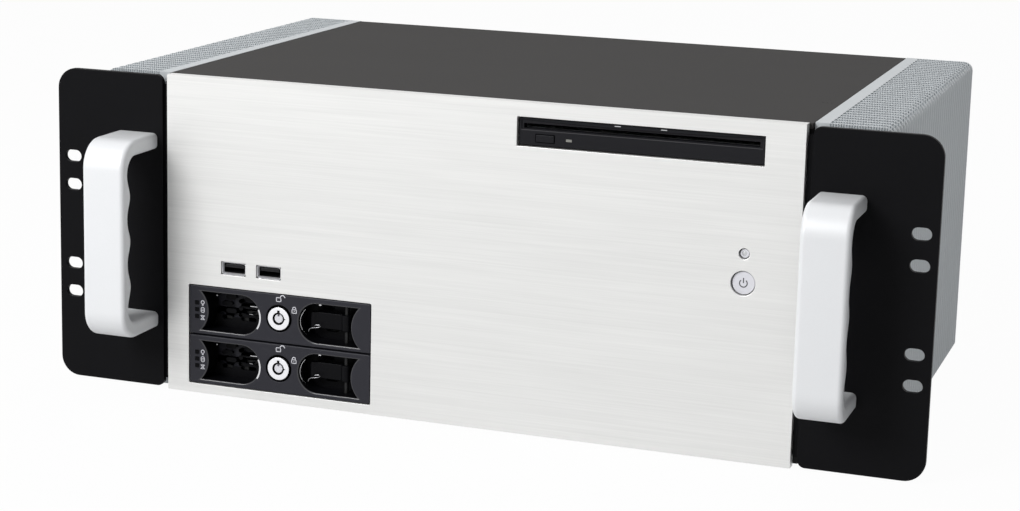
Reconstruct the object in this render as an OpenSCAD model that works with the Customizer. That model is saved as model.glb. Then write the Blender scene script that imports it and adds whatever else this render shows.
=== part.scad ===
// Fanless 4U rack enclosure for a small storage server: finned side walls, two lockable drive trays,
// a slot-loading disc drive, and rack ears with bow handles. Millimetres, +Z up, the front faces -Y.

/* [Overall] */
// Width of the front panel, between the two ears
panel_w = 348.4; // [300:0.2:420]
// Height of the front panel
panel_h = 175; // [146:0.5:215]
// Depth from the front face of the ears to the back edge of the heatsinks
chassis_d = 271; // [225:1:340]

/* [Front panel] */
// Thickness of the front panel
panel_t = 6; // [4:0.5:8]
// How far the front panel stands proud of the ears
panel_proud = 1; // [0:0.1:3]
// Chamfer round the front edges of the panel
panel_chamfer = 1.3; // [0.5:0.1:2]
// Gap between the front panel and the front frame behind it
panel_air = 3.5; // [3.3:0.1:8]

/* [Rack ears] */
// Width of one ear
ear_w = 63.9; // [58:0.1:80]
// Thickness of an ear
ear_t = 3; // [2:0.5:4]
// Space between the edge of the front panel and an ear
ear_gap = 3.2; // [2.5:0.1:6]
// Corner radius on the outer edge of an ear
ear_r = 11; // [4:0.5:16]
// Corner radius on the inner edge of an ear
ear_inner_r = 4; // [2:0.5:6]
// Distance of the rack slots from the outer edge of the ear
slot_in = 8.75; // [8:0.05:12]
// Height between the outer pair of rack slots
slot_outer = 76.2; // [70:0.1:100]
// Height between the inner pair of rack slots
slot_inner = 44.45; // [30:0.05:55]
// Length of a rack slot
slot_len = 9.9; // [8:0.1:13]
// Width of a rack slot
slot_w = 6.5; // [5.5:0.1:7.2]

/* [Handles] */
// Width of a handle
handle_w = 24.6; // [18:0.2:32]
// Length of a handle
handle_len = 108.2; // [90:0.2:134]
// How far a handle stands out from its ear
handle_out = 38.5; // [34:0.5:50]
// Thickness of a handle's arms
handle_arm = 8.8; // [8:0.2:12]
// Thickness of the grip at the crests between the fingers
grip_t = 9.6; // [8:0.2:12]
// Depth of the four finger waves
grip_wave = 3; // [1:0.1:4]
// Outer corner radius of a handle
handle_r = 15; // [10:0.5:18]
// Distance of a handle from the inner edge of its ear
handle_in = 3.4; // [1:0.1:8]

/* [Heatsinks] */
// Length of the fins
fin_len = 32.2; // [15:0.2:45]
// Thickness of a fin
fin_t = 3; // [1.5:0.1:4]
// Distance from one fin to the next, adjusted so that the fins end flush
fin_pitch = 7.5; // [6:0.1:12]
// Thickness of the plate that carries the fins
fin_base_t = 7; // [7:0.5:12]
// Radius of the rounded outer edges, top and bottom
fin_r = 5.5; // [2:0.5:14]

/* [Drive bay] */
// Width of the opening for the trays
bay_w = 107.7; // [106.8:0.1:130]
// Height that each tray takes
tray_pitch = 27.8; // [27.8:0.1:36]
// Distance of the bay from the left edge of the panel
bay_left = 12.7; // [10:0.1:30]
// Distance of the bay from the bottom edge of the panel
bay_up = 5.2; // [4.5:0.1:10]
// Gap round each tray front
tray_gap = 0.45; // [0.3:0.05:0.8]
// Depth of a tray front
bezel_d = 14; // [13:0.5:18]
// Depth of the finger recesses
recess_d = 11.8; // [6:0.1:12.4]
// Height of the finger recesses
recess_h = 21.4; // [16:0.1:23]
// How far the recesses lie below the middle of the tray
recess_down = 0.4; // [0:0.1:0.8]
// Distance of a recess's round end from the middle of the tray
recess_in = 11.6; // [10:0.1:14]
// Distance of a recess's outer corners from the middle of the tray
recess_out = 46.2; // [42:0.1:47]

/* [Locks] */
// Diameter of a lock's face
lock_d = 12.8; // [11:0.1:14.5]
// How far a lock stands proud of its tray front
lock_proud = 0.5; // [0:0.1:3]
// Gap round a lock's face, in the dish of its tray front
dish_gap = 1.1; // [0.5:0.1:2]
// Depth of the dish round a lock
dish_d = 4; // [2:0.5:6]
// Diameter of the turning core
core_d = 5; // [4:0.1:5.6]

/* [Disc drive] */
// Width of the opening for the disc drive
odd_w = 129; // [128.8:0.1:140]
// Height of the opening for the disc drive
odd_h = 15.2; // [14.2:0.1:20]
// Distance of the opening from the right edge of the panel
odd_right = 20.1; // [12:0.1:40]
// Distance of the opening from the top edge of the panel
odd_top = 7.5; // [6:0.1:12]
// Gap round the disc drive's front
odd_gap = 0.6; // [0.3:0.1:1]
// How deep the disc drive's front lies in the panel
odd_sunk = 1.8; // [0.5:0.1:3]

/* [Buttons and ports] */
// Diameter of the hole for the power button
power_d = 12.6; // [10:0.1:16]
// Diameter of the hole for the reset button
reset_d = 5.6; // [4.6:0.1:8]
// Distance of both buttons from the right edge of the panel
button_right = 28.3; // [20:0.1:50]
// Height of the power button
power_z = 92.5; // [80:0.1:96]
// Height of the reset button above the power button
reset_up = 15.1; // [14:0.1:20]
// Gap round a button
button_gap = 0.4; // [0.3:0.05:0.6]
// How deep the buttons lie in the panel
button_sunk = 1.4; // [0:0.1:2.5]
// Travel of the power button
power_travel = 1.2; // [0.5:0.1:1.5]
// Distance of the first port from the left edge of the panel
usb_left = 39.5; // [34:0.1:60]
// Distance between the two ports
usb_pitch = 20.9; // [18:0.1:30]
// Height of the ports above the drive bay
usb_up = 10.8; // [10:0.1:22]

/* [Hidden] */
$fn = 64;

air = 0.3;              // clearance between pieces that move past each other
fit = 0.1;              // radial clearance of a screw or a pin in its hole
sheet = 1.5;            // sheet steel of the brackets
top_z = panel_h - 0.2;  // top of the heatsinks and of the cover

// The model is drawn from the front face of the ears; its origin is the middle of its footprint
rack_y = (handle_out - chassis_d) / 2;
panel_y = -panel_proud;
panel_back = panel_y + panel_t;
frame_y = panel_back + panel_air;
frame_t = 2;
frame_back = frame_y + frame_t;
wall_x = panel_w / 2 + 2.1;
body_x = wall_x - air;
rear_out = chassis_d - 3;
rear_t = 2;
rear_in = rear_out - rear_t;
base_t = 2;
cover_t = 3;
roof_z = top_z - cover_t;

ear_x = panel_w / 2 + ear_gap;
ear_end = ear_x + ear_w;
ear_z = 0.8;
ear_strip = 4.7;       // how far the black strip beside the panel stops short of the ear's ends
tab_x = 12;            // reach of an ear's tab behind the panel
mid_z = panel_h / 2;
slot_x = ear_end - slot_in;
handle_x = ear_x + handle_in + handle_w / 2;
handle_z = mid_z + 0.6;
handle_edge = 2;

fin_count = round((chassis_d - frame_y - fin_t) / fin_pitch);
fin_step = (chassis_d - frame_y - fin_t) / fin_count;
fin_x = wall_x + fin_base_t;

bay_x = -panel_w / 2 + bay_left + bay_w / 2;
bay_h = 2 * tray_pitch;
tray_w = bay_w - 2 * tray_gap;
tray_h = tray_pitch - 2 * tray_gap;
tray_y = panel_y + 0.3;
tray_back = tray_y + bezel_d;
lip_sag = 4.2;
window = 2.3;
window_x = -48.9;
window_step = 3.8;
lip_r = ((recess_h / 2) ^ 2 + lip_sag ^ 2) / (2 * lip_sag);
drive_w = 101.6;
drive_len = 147;
drive_h = 26.1;
rail_gap = 1.05;
rail_out = bay_w / 2 - rail_gap;
rail_h = 12;
rail_z = -12.4;
cage_in = bay_w / 2;
cage_t = 1.2;
ledge_w = 2.7;
seam = 0.05;
drive_y = tray_back + 8;
plane_y = drive_y + drive_len + 8;
cage_end = plane_y + 4;
lock_bore = lock_d / 2 + fit;
lock_end = tray_back + 4.5;
hinge_x = 37;
hinge_y = 7;
lever_h = 9;
lever_t = 3;

odd_x = panel_w / 2 - odd_right - odd_w / 2;
odd_z = panel_h - odd_top - odd_h / 2;
odd_y = panel_y + odd_sunk;
odd_bezel_t = 5;
odd_case_h = 12.7;
odd_case_d = 126;
odd_slot_z = [1.5, 4.1];
eject_w = 9.8;
eject_h = 3.8;
eject_x = -49.9;
eject_z = -3.2;
eject_travel = 0.6;
light_x = -37.2;

button_x = panel_w / 2 - button_right;
reset_z = power_z + reset_up;
reset_travel = 0.8;
button_y = panel_y + button_sunk;
switch_y = panel_back + 6.6;
board_t = 1.6;
switch_pcb = frame_back + 5.5;

usb_x = -panel_w / 2 + usb_left;
usb_z = bay_up + bay_h + usb_up;
usb_w = 13.4;
usb_h = 6.2;
usb_wall = 0.5;
usb_y = panel_y + 0.6;

mobo = 170;
mobo_x = body_x - 5.7 - mobo;
mobo_y = rear_in - 1 - mobo;
mobo_z = base_t + 6.5;
cpu_x = mobo_x + 88;
cpu_y = mobo_y + 82;
io_w = 158.8;
io_h = 44.5;
io_x = mobo_x + 4 + io_w / 2;
io_z = mobo_z - 2.2 + io_h / 2;
slot_cover_x = mobo_x - 16;
pipe_r = 3;
pipe_bend = 14;
pipe_z = mobo_z + board_t + 10;
mobo_holes = [for (x = [6.4, mobo - 6.4], y = [mobo - 165, mobo - 33]) [mobo_x + x, mobo_y + y]];

psu_w = 125;
psu_h = 63.5;
psu_d = 100;
psu_x = -body_x + 4 + psu_w / 2;
psu_z = roof_z - 8 - psu_h / 2;
inlet_x = psu_x - 38;
rocker_x = psu_x - 12;
rocker_tilt = 10;

// A box given by its limits along each axis
module box(x, y, z) {
    translate([x[0], y[0], z[0]]) cube([x[1] - x[0], y[1] - y[0], z[1] - z[0]]);
}

// Extrudes an outline drawn in X and Z, from y0 to y1
module along_y(y0, y1) {
    translate([0, y1, 0]) rotate([90, 0, 0]) linear_extrude(y1 - y0) children();
}

// Extrudes an outline drawn in Y and Z, from x0 to x1
module along_x(x0, x1) {
    translate([x0, 0, 0]) rotate([90, 0, 90]) linear_extrude(x1 - x0) children();
}

// A round rod along Y, from y0 to y1
module rod_y(r, y0, y1) {
    translate([0, y0, 0]) rotate([-90, 0, 0]) cylinder(r = r, h = y1 - y0);
}

// A rectangle with round corners, about its middle
module round_rect(w, h, r) {
    square([w - 2 * r, h], center = true);
    square([w, h - 2 * r], center = true);
    for (x = [-1, 1], z = [-1, 1]) translate([x * (w / 2 - r), z * (h / 2 - r)]) circle(r);
}

// A slot with round ends, lying along X
module oblong(len, w) {
    square([len - w, w], center = true);
    for (x = [-1, 1]) translate([x * (len - w) / 2, 0]) circle(w / 2);
}

// Places the model about its origin
module placed() {
    translate([0, rack_y, 0]) children();
}

// A copy on each side
module both_sides() {
    children();
    mirror([1, 0, 0]) children();
}

// Where the front panel's studs are, seen from the front
studs = [[-panel_w / 2 + 22, 100], [-panel_w / 2 + 22, panel_h - 14], [-20, 20],
    [odd_x - odd_w / 2 - 14, panel_h - 14], [panel_w / 2 - 22, 20], [panel_w / 2 - 22, 62]];

// Where the side screws are on the right wall, as distance from the front and height
side_marks = [for (z = [40, mid_z, panel_h - 30], y = [frame_back + 8, rear_in - 8]) [y, z],
    for (i = [0:3]) [frame_back + 34 + i * (rear_in - frame_back - 68) / 3, base_t + 7]];

// Where the ears' hidden screws are
ear_screw_z = [22, mid_z, panel_h - 22];

// ---- Front ----

module front_panel() {
    half = panel_w / 2;
    color("gainsboro") placed() difference() {
        intersection() {
            linear_extrude(panel_h) polygon([[-half, panel_back], [half, panel_back],
                [half, panel_y + panel_chamfer], [half - panel_chamfer, panel_y],
                [-half + panel_chamfer, panel_y], [-half, panel_y + panel_chamfer]]);
            along_x(-half, half) polygon([[panel_back, 0], [panel_back, panel_h],
                [panel_y + panel_chamfer, panel_h], [panel_y, panel_h - panel_chamfer],
                [panel_y, panel_chamfer], [panel_y + panel_chamfer, 0]]);
        }
        along_y(panel_y - 1, panel_back + 1) {
            translate([bay_x, bay_up + bay_h / 2]) round_rect(bay_w, bay_h, 1);
            translate([odd_x, odd_z]) square([odd_w, odd_h], center = true);
            for (i = [0, 1]) translate([usb_x + i * usb_pitch, usb_z]) round_rect(14.6, 7.3, 1);
        }
        translate([button_x, 0, power_z]) button_hole(power_d / 2);
        translate([button_x, 0, reset_z]) button_hole(reset_d / 2);
        for (s = studs) translate([s[0], 0, s[1]]) rod_y(2 + fit, panel_back - 3, panel_back + 1);
    }
}

// A hole through the panel with a small chamfer at its mouth
module button_hole(r) {
    rod_y(r, panel_y - 1, panel_back + 1);
    translate([0, panel_y - 0.01, 0]) rotate([-90, 0, 0]) cylinder(r1 = r + 0.4, r2 = r, h = 0.4);
}

module ear(side) {
    color([0.1, 0.1, 0.11]) placed() mirror([side < 0 ? 1 : 0, 0, 0]) difference() {
        union() {
            along_y(0, ear_t) ear_outline();
            box([panel_w / 2 + 0.6, wall_x + 6], [ear_t, frame_y],
                [ear_z + ear_strip, panel_h - ear_z - ear_strip]);
            box([panel_w / 2 + 0.6, ear_x + 4], [ear_t - 1, ear_t],
                [ear_z + ear_strip, panel_h - ear_z - ear_strip]);
            box([panel_w / 2 - tab_x, wall_x], [panel_back + air, frame_y],
                [ear_z + ear_strip, panel_h - ear_z - ear_strip]);
        }
        for (z = [-slot_outer, -slot_inner, slot_inner, slot_outer])
            along_y(-1, ear_t + 1) translate([slot_x, mid_z + z / 2]) oblong(slot_len, slot_w);
        for (z = [-1, 1]) translate([handle_x, 0, handle_z + z * (handle_len - handle_arm) / 2]) {
            rod_y(2 + fit, -1, ear_t + 1);
            translate([0, ear_t, 0]) rotate([90, 0, 0]) cylinder(r1 = 3.9 + fit, r2 = 2, h = 2);
        }
        for (z = ear_screw_z) translate([panel_w / 2 - tab_x / 2, 0, z]) {
            rod_y(1.5 + fit, panel_back, frame_y + 1);
            translate([0, panel_back + air, 0]) rotate([-90, 0, 0])
                cylinder(r1 = 2.9 + fit, r2 = 1.5, h = 1.5);
        }
    }
}

// The ear seen from the front: large round corners outside, small ones inside
module ear_outline() {
    h = panel_h - 2 * ear_z;
    translate([ear_end - ear_w / 2, mid_z]) {
        intersection() {
            translate([-ear_w / 2, 0]) round_rect(2 * ear_w, h, ear_r);
            square([ear_w, h], center = true);
            translate([ear_w / 2, 0]) round_rect(2 * ear_w, h, ear_inner_r);
        }
    }
}

module ear_left() { ear(-1); }
module ear_right() { ear(1); }

// A bow handle: two arms, a grip with four finger waves, and rounded edges
module handle(side) {
    inner = handle_len - 2 * handle_arm;
    wave = inner / 4 + 1.6;
    wave_r = ((wave / 2) ^ 2 + grip_wave ^ 2) / (2 * grip_wave);
    deep = handle_out - grip_t + grip_wave;
    color("whitesmoke") placed() translate([side * handle_x, 0, handle_z]) difference() {
        intersection() {
            along_x(-handle_w / 2, handle_w / 2)
                intersection() {
                    round_rect(2 * handle_out, handle_len, handle_r);
                    translate([-handle_out, -handle_len / 2]) square([handle_out, handle_len]);
                }
            translate([0, 0, -handle_len / 2]) linear_extrude(handle_len)
                round_rect(handle_w, 2 * handle_out, handle_edge);
            along_y(-handle_out, 0) round_rect(handle_w, handle_len, handle_edge);
        }
        along_x(-handle_w, handle_w) intersection() {
            round_rect(2 * deep, inner, 9);
            union() {
                translate([-deep + grip_wave, -inner / 2]) square([deep, inner]);
                for (i = [-1.5:1:1.5]) translate([-deep + wave_r, i * wave]) circle(wave_r);
            }
        }
        for (z = [-1, 1]) translate([0, 0, z * (handle_len - handle_arm) / 2])
            rod_y(2 + fit, -14, 1);
    }
}

module handle_left() { handle(-1); }
module handle_right() { handle(1); }

// A countersunk screw that points along +Y, its head at the start
module flat_screw(r, head_r, head_h, len) {
    rotate([-90, 0, 0]) {
        cylinder(r1 = head_r, r2 = r, h = head_h);
        cylinder(r = r, h = len);
    }
}

// Countersunk screws: two from behind into each handle, three through each ear's hidden tab
module ear_screws() {
    color("dimgray") placed() both_sides() {
        for (z = [-1, 1]) translate([handle_x, ear_t, handle_z + z * (handle_len - handle_arm) / 2])
            rotate([0, 0, 180]) flat_screw(2, 3.8, 1.8, 14);
        for (z = ear_screw_z) translate([panel_w / 2 - tab_x / 2, panel_back + air, z])
            flat_screw(1.5, 2.8, 1.3, frame_y - panel_back + 3);
    }
}

// Studs pressed into the panel's back, each with a shoulder and a nut behind the frame
module panel_studs() {
    color("silver") placed() for (s = studs) translate([s[0], 0, s[1]]) {
        rod_y(2, panel_back - 2.8, frame_back + 5);
        rod_y(4, panel_back, frame_y);
        difference() {
            translate([0, frame_back, 0]) rotate([-90, 0, 0]) cylinder(r = 4.04, h = 3.2, $fn = 6);
            rod_y(2 + fit, frame_back - 1, frame_back + 4);
        }
    }
}

// The steel frame behind the front panel
module front_frame() {
    color([0.14, 0.14, 0.15]) placed() difference() {
        union() {
            box([-body_x, body_x], [frame_y, frame_back], [base_t, roof_z]);
            box([-body_x + 20, body_x - 20], [frame_back, frame_back + 12], [roof_z - sheet, roof_z]);
            both_sides() box([body_x - sheet, body_x], [frame_back, frame_back + 16],
                [base_t + 16, roof_z]);
        }
        along_y(frame_y - 1, frame_back + 1) {
            translate([bay_x, bay_up + bay_h / 2]) square([bay_w, bay_h], center = true);
            translate([odd_x, odd_z]) square([odd_w + 1, odd_h], center = true);
            translate([usb_x + usb_pitch / 2, usb_z - 1.5]) square([usb_pitch + 24, 13], center = true);
            translate([button_x, power_z]) circle(9);
            translate([button_x, reset_z]) circle(3.6);
            for (s = studs) translate(s) circle(2 + fit);
            for (x = [-1, 1], z = ear_screw_z) translate([x * (panel_w / 2 - tab_x / 2), z])
                circle(1.5 + fit);
        }
        side_holes(body_x - sheet - 1, body_x + 1, frame_back + 16);
    }
}

// Holes for the side screws that lie nearer to the front than limit
module side_holes(x0, x1, limit = 10000, from = 0) {
    both_sides() for (m = side_marks) if (m[0] < limit && m[0] > from)
        translate([x0, m[0], m[1]]) rotate([0, 90, 0]) cylinder(r = 1.5 + fit, h = x1 - x0);
}

// ---- Body ----

// A finned wall. The fins stand across the depth and run the full height.
module heatsink(side) {
    color("lightsteelblue") placed() mirror([side < 0 ? 1 : 0, 0, 0]) difference() {
        intersection() {
            linear_extrude(top_z) {
                translate([wall_x, frame_y]) square([fin_base_t, chassis_d - frame_y]);
                for (i = [0:fin_count]) translate([fin_x - 1, frame_y + i * fin_step])
                    square([fin_len + 1, fin_t]);
            }
            along_y(frame_y, chassis_d)
                translate([wall_x, top_z / 2]) round_rect(2 * (fin_base_t + fin_len), top_z, fin_r);
        }
        for (m = side_marks) translate([wall_x - 1, m[0], m[1]]) rotate([0, 90, 0])
            cylinder(r = 1.5 + fit, h = 6);
    }
}

module heatsink_left() { heatsink(-1); }
module heatsink_right() { heatsink(1); }

module side_screws() {
    color("dimgray") placed() both_sides() for (m = side_marks)
        translate([body_x - sheet, m[0], m[1]]) rotate([0, 90, 0]) {
            cylinder(r = 1.5, h = 6);
            translate([0, 0, -1.8]) cylinder(r = 2.8, h = 1.8);
        }
}

module top_cover() {
    color([0.3, 0.3, 0.31]) placed() difference() {
        union() {
            box([-body_x, body_x], [panel_back + air, chassis_d - 0.2], [roof_z, top_z]);
            box([-body_x + 6, body_x - 6], [rear_out, rear_out + sheet], [roof_z - 12, roof_z + 1]);
        }
        for (x = [-1, 0, 1]) translate([x * 0.8 * body_x, 0, roof_z - 6])
            rod_y(1.5 + fit, rear_out - 1, rear_out + 3);
    }
}

module cover_screws() {
    color("dimgray") placed() for (x = [-1, 0, 1]) translate([x * 0.8 * body_x, 0, roof_z - 6]) {
        rod_y(1.5, rear_in - 3, rear_out + sheet);
        rod_y(2.8, rear_out + sheet, rear_out + sheet + 1.2);
    }
}

// The floor, with its upturned edges and its vents
module base_pan() {
    color([0.2, 0.2, 0.21]) placed() difference() {
        union() {
            box([-body_x, body_x], [frame_y, rear_in], [0, base_t]);
            both_sides() box([body_x - sheet, body_x], [frame_back + 20, rear_in - 20],
                [base_t, base_t + 13]);
        }
        for (i = [0:9], j = [0, 1]) translate([mobo_x + 22 + i * 14, mobo_y + 24 + j * 92, -1])
            linear_extrude(base_t + 2) rotate(90) translate([17, 0]) oblong(44, 5);
        for (h = mobo_holes) translate([h[0], h[1], -1]) cylinder(r = 1.5 + fit, h = base_t + 2);
        side_holes(body_x - sheet - 1, body_x + 1);
    }
}

// The back wall: ports, slot covers, power supply and vents
module rear_panel() {
    color([0.2, 0.2, 0.21]) placed() difference() {
        union() {
            box([-body_x, body_x], [rear_in, rear_out], [0, roof_z]);
            both_sides() box([body_x - sheet, body_x], [rear_in - 16, rear_in], [base_t + 16, roof_z]);
        }
        along_y(rear_in - 1, rear_out + 1) {
            translate([io_x, io_z]) square([io_w, io_h], center = true);
            translate([psu_x, psu_z]) square([psu_w - 16, psu_h - 14], center = true);
            translate([slot_cover_x, 60]) square([13, 90], center = true);
            for (i = [0:11], j = [0, 1]) translate([mobo_x + 16 + i * 12.5, roof_z - 34 - j * 40])
                rotate(90) oblong(30, 5);
            for (x = [-1, 0, 1]) translate([x * 0.8 * body_x, roof_z - 6]) circle(1.5 + fit);
        }
        side_holes(body_x - sheet - 1, body_x + 1, 10000, rear_in - 16);
    }
}

module slot_cover() {
    color("silver") placed()
        box([slot_cover_x - 9.2, slot_cover_x + 9.2], [rear_in - 1, rear_in], [10, 110]);
}

// ---- Buttons and ports ----

// A round button with a collar that keeps it behind the panel, and a stem that reaches the switch
module button(hole_r, collar, stem_r, travel) {
    r = hole_r - button_gap;
    stem_end = switch_y - travel - air;
    rod_y(r, button_y, panel_back + air + 0.5);
    rod_y(r + collar, panel_back + air, panel_back + air + 1);
    rod_y(stem_r, panel_back + air + 0.5, stem_end);
}

module power_button() {
    color("gainsboro") placed() translate([button_x, 0, power_z])
        button(power_d / 2, 1.3, 2.4, power_travel);
}

module reset_button() {
    color("gainsboro") placed() translate([button_x, 0, reset_z]) difference() {
        button(reset_d / 2, 1.3, 1.4, reset_travel);
        rod_y(1.2, button_y - 1, button_y + 0.5);
    }
}

module switch_board() {
    color("darkgreen") placed() {
        difference() {
            box([button_x - 11, button_x + 11], [switch_pcb, switch_pcb + board_t],
                [power_z - 16, reset_z + 12]);
            for (z = [power_z - 12, reset_z + 8]) translate([button_x, 0, z])
                rod_y(1.5, switch_pcb - 1, switch_pcb + 3);
        }
        for (z = [power_z - 12, reset_z + 8]) translate([button_x, 0, z]) {
            rod_y(2.4, frame_back, switch_pcb);
            rod_y(1.5, switch_pcb, switch_pcb + board_t);
        }
    }
}

module switches() {
    color("silver") placed() for (s = [[power_z, 1.9], [reset_z, 1.1]])
        translate([button_x, 0, s[0]]) {
            box([-3, 3], [switch_y + 1.5, switch_pcb], [-3, 3]);
            rod_y(s[1], switch_y, switch_y + 1.5);
        }
}

module usb_shells() {
    color("silver") placed() for (i = [0, 1])
        translate([usb_x + i * usb_pitch, 0, usb_z]) {
            difference() {
                box([-usb_w / 2, usb_w / 2], [usb_y, usb_y + 14], [-usb_h / 2, usb_h / 2]);
                box([-usb_w / 2 + usb_wall, usb_w / 2 - usb_wall], [usb_y - 1, usb_y + 13],
                    [-usb_h / 2 + usb_wall, usb_h / 2 - usb_wall]);
            }
        }
}

module usb_tongues() {
    color([0.1, 0.1, 0.1]) placed() for (i = [0, 1])
        box([usb_x + i * usb_pitch - 5.6, usb_x + i * usb_pitch + 5.6],
            [usb_y + 1.5, usb_y + 13], [usb_z + 0.3, usb_z + 2.1]);
}

// The board under the ports: its tongue passes through the frame, its back is held by brackets
module usb_board() {
    z = usb_z - usb_h / 2;
    color("darkgreen") placed() {
        box([usb_x - 9, usb_x + usb_pitch + 9], [frame_y - 2.5, frame_back + 16], [z - board_t, z]);
        box([usb_x - 18, usb_x + usb_pitch + 18], [frame_back, frame_back + 16], [z - board_t, z]);
    }
}

module usb_brackets() {
    z = usb_z - usb_h / 2;
    color("silver") placed() for (x = [usb_x - 18, usb_x + usb_pitch + 12.5]) {
        box([x, x + 5.5], [frame_back, frame_back + 12], [z, z + 1.2]);
        box([x, x + 5.5], [frame_back, frame_back + 1.2], [z, z + 12]);
    }
}

// ---- Disc drive ----

module odd_bezel() {
    w = odd_w - 2 * odd_gap;
    h = odd_h - 2 * odd_gap;
    color([0.13, 0.13, 0.14]) placed() translate([odd_x, 0, odd_z]) difference() {
        box([-w / 2, w / 2], [odd_y, odd_y + odd_bezel_t], [-h / 2, h / 2]);
        box([-w / 2 + 1.4, w / 2 - 1.4], [odd_y - 1, odd_y + 0.8], [0.8, h / 2 - 0.9]);
        box([-w / 2 + 2.6, w / 2 - 2.6], [odd_y - 1, odd_y + odd_bezel_t + 1], odd_slot_z);
        box([-eject_w / 2 + eject_x - air, eject_w / 2 + eject_x + air],
            [odd_y - 1, odd_y + 2.9 + eject_travel + air],
            [eject_z - eject_h / 2 - air, eject_z + eject_h / 2 + air]);
        box([light_x - 1.6, light_x + 1.6], [odd_y - 1, odd_y + 3], [eject_z - 0.7, eject_z + 0.7]);
    }
}

module odd_eject() {
    color([0.16, 0.16, 0.17]) placed() translate([odd_x + eject_x, 0, odd_z + eject_z])
        box([-eject_w / 2, eject_w / 2], [odd_y - 0.5, odd_y + 2.9], [-eject_h / 2, eject_h / 2]);
}

module odd_light() {
    color("white") placed() translate([odd_x + light_x, 0, odd_z + eject_z])
        box([-1.6, 1.6], [odd_y, odd_y + 3], [-0.7, 0.7]);
}

module odd_case() {
    w = 128;
    y0 = odd_y + odd_bezel_t;
    color("silver") placed() translate([odd_x, 0, odd_z]) difference() {
        box([-w / 2, w / 2], [y0, y0 + odd_case_d], [-odd_case_h / 2, odd_case_h / 2]);
        box([-w / 2 + 2.5, w / 2 - 2.5], [y0 - 1, y0 + 3], odd_slot_z);
        box([-w / 2 + 2, w / 2 - 2], [y0 + 2, y0 + odd_case_d - 2], [-4.6, 5.2]);
    }
}

module odd_bracket() {
    w = 128 + 2 * air;
    y0 = frame_back;
    y1 = odd_y + odd_bezel_t + odd_case_d - 10;
    z0 = odd_z - odd_case_h / 2;
    color([0.2, 0.2, 0.21]) placed() difference() {
        union() {
            box([odd_x - w / 2 - sheet, odd_x + w / 2 + sheet], [y0, y1], [z0 - sheet, z0]);
            for (x = [odd_x - w / 2 - sheet, odd_x + w / 2])
                box([x, x + sheet], [y0, y1], [z0 - 0.5, z0 + 9]);
            box([odd_x - w / 2 - sheet, odd_x + w / 2 + sheet], [y0, y0 + sheet], [z0 - 12, z0]);
        }
        for (i = [0:3]) translate([odd_x - 45 + i * 30, y0 + 45, z0 - 3])
            linear_extrude(6) rotate(90) oblong(60, 10);
    }
}

// ---- Drive bay ----

// The box that guides the trays: two slotted side plates, a slotted plate below and one above them,
// and a ledge under each rail
module drive_cage() {
    z1 = bay_up + bay_h + 0.5;
    side = [frame_back, cage_end];
    color("silver") placed() {
        difference() {
            for (z = [base_t, z1]) box([bay_x - cage_in - cage_t, bay_x + cage_in + cage_t], side,
                [z, z + cage_t]);
            for (i = [0:3]) translate([bay_x - 36 + i * 24, frame_back + 84, 0])
                linear_extrude(z1 + 10) rotate(90) oblong(110, 12);
        }
        difference() {
            for (x = [bay_x - cage_in - cage_t, bay_x + cage_in]) box([x, x + cage_t], side,
                [base_t + cage_t + seam, z1 - seam]);
            for (i = [0:3], t = [0, 1])
                translate([bay_x - 80, frame_back + 24 + i * 36, tray_z(t) + 4])
                    rotate([90, 0, 90]) linear_extrude(160) oblong(24, 9);
        }
        for (t = [0, 1]) translate([bay_x, 0, tray_z(t) + rail_z - air - 1]) both_sides()
            box([cage_in - ledge_w, cage_in - seam], [frame_back + 6, plane_y - 4], [0, 1]);
    }
}

function tray_z(t) = bay_up + (t + 0.5) * tray_pitch;

module backplane() {
    color("darkgreen") placed() {
        box([bay_x - cage_in, bay_x + cage_in], [plane_y, plane_y + board_t],
            [base_t + cage_t, bay_up + bay_h + 0.5]);
        for (t = [0, 1]) box([bay_x - 34, bay_x + 8], [plane_y - 7.2, plane_y],
            [tray_z(t) - 12, tray_z(t) - 5]);
    }
}

// Outline of one finger recess, to the right of the tray's middle: a round inner end, and an
// outer end where the tray front bulges into it
module recess_outline() {
    difference() {
        union() {
            translate([recess_in + recess_h / 2, 0]) circle(recess_h / 2);
            translate([recess_in + recess_h / 2, -recess_h / 2])
                square([recess_out - recess_in - recess_h / 2, recess_h]);
        }
        translate([recess_out - lip_sag + lip_r, 0]) circle(lip_r);
    }
}

module tray_front(t) {
    color([0.19, 0.19, 0.22]) placed() translate([bay_x, 0, tray_z(t)]) difference() {
        along_y(tray_y, tray_back) round_rect(tray_w, tray_h, 0.6);
        translate([0, 0, -recess_down]) both_sides() along_y(tray_y - 1, tray_y + recess_d)
            recess_outline();
        rod_y(lock_d / 2 + dish_gap, tray_y - 1, tray_y + dish_d);
        rod_y(lock_bore, tray_y - 1, tray_back + 1);
        // air slots through the back of the left recess
        for (j = [-1.5:1:1.5]) {
            shift = (j - 0.5) % 2 == 0 ? 2.4 : 0;
            translate([-21 - shift, 0, j * 3.9]) along_y(tray_y, tray_back + 1) oblong(9, 2.2);
            translate([-34 - shift, 0, j * 3.9]) along_y(tray_y, tray_back + 1) oblong(6, 2.2);
            translate([24 + shift, 0, j * 3.9]) along_y(tray_y, tray_back + 1) oblong(7, 2.2);
        }
        for (j = [-1, 0, 1]) translate([-28.2, 0, j * 3.9]) rod_y(1.1, tray_y, tray_back + 1);
        // seats of the indicator lenses
        window_places() box([-window / 2, window / 2], [tray_y - 1, tray_y + 2.5],
            [-window / 2, window / 2]);
        // bore of the latch's pin, from below
        translate([hinge_x, tray_y + hinge_y, -tray_h / 2 + 0.8])
            cylinder(r = 1.2 + fit, h = tray_h - 1.6);
    }
}

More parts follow.
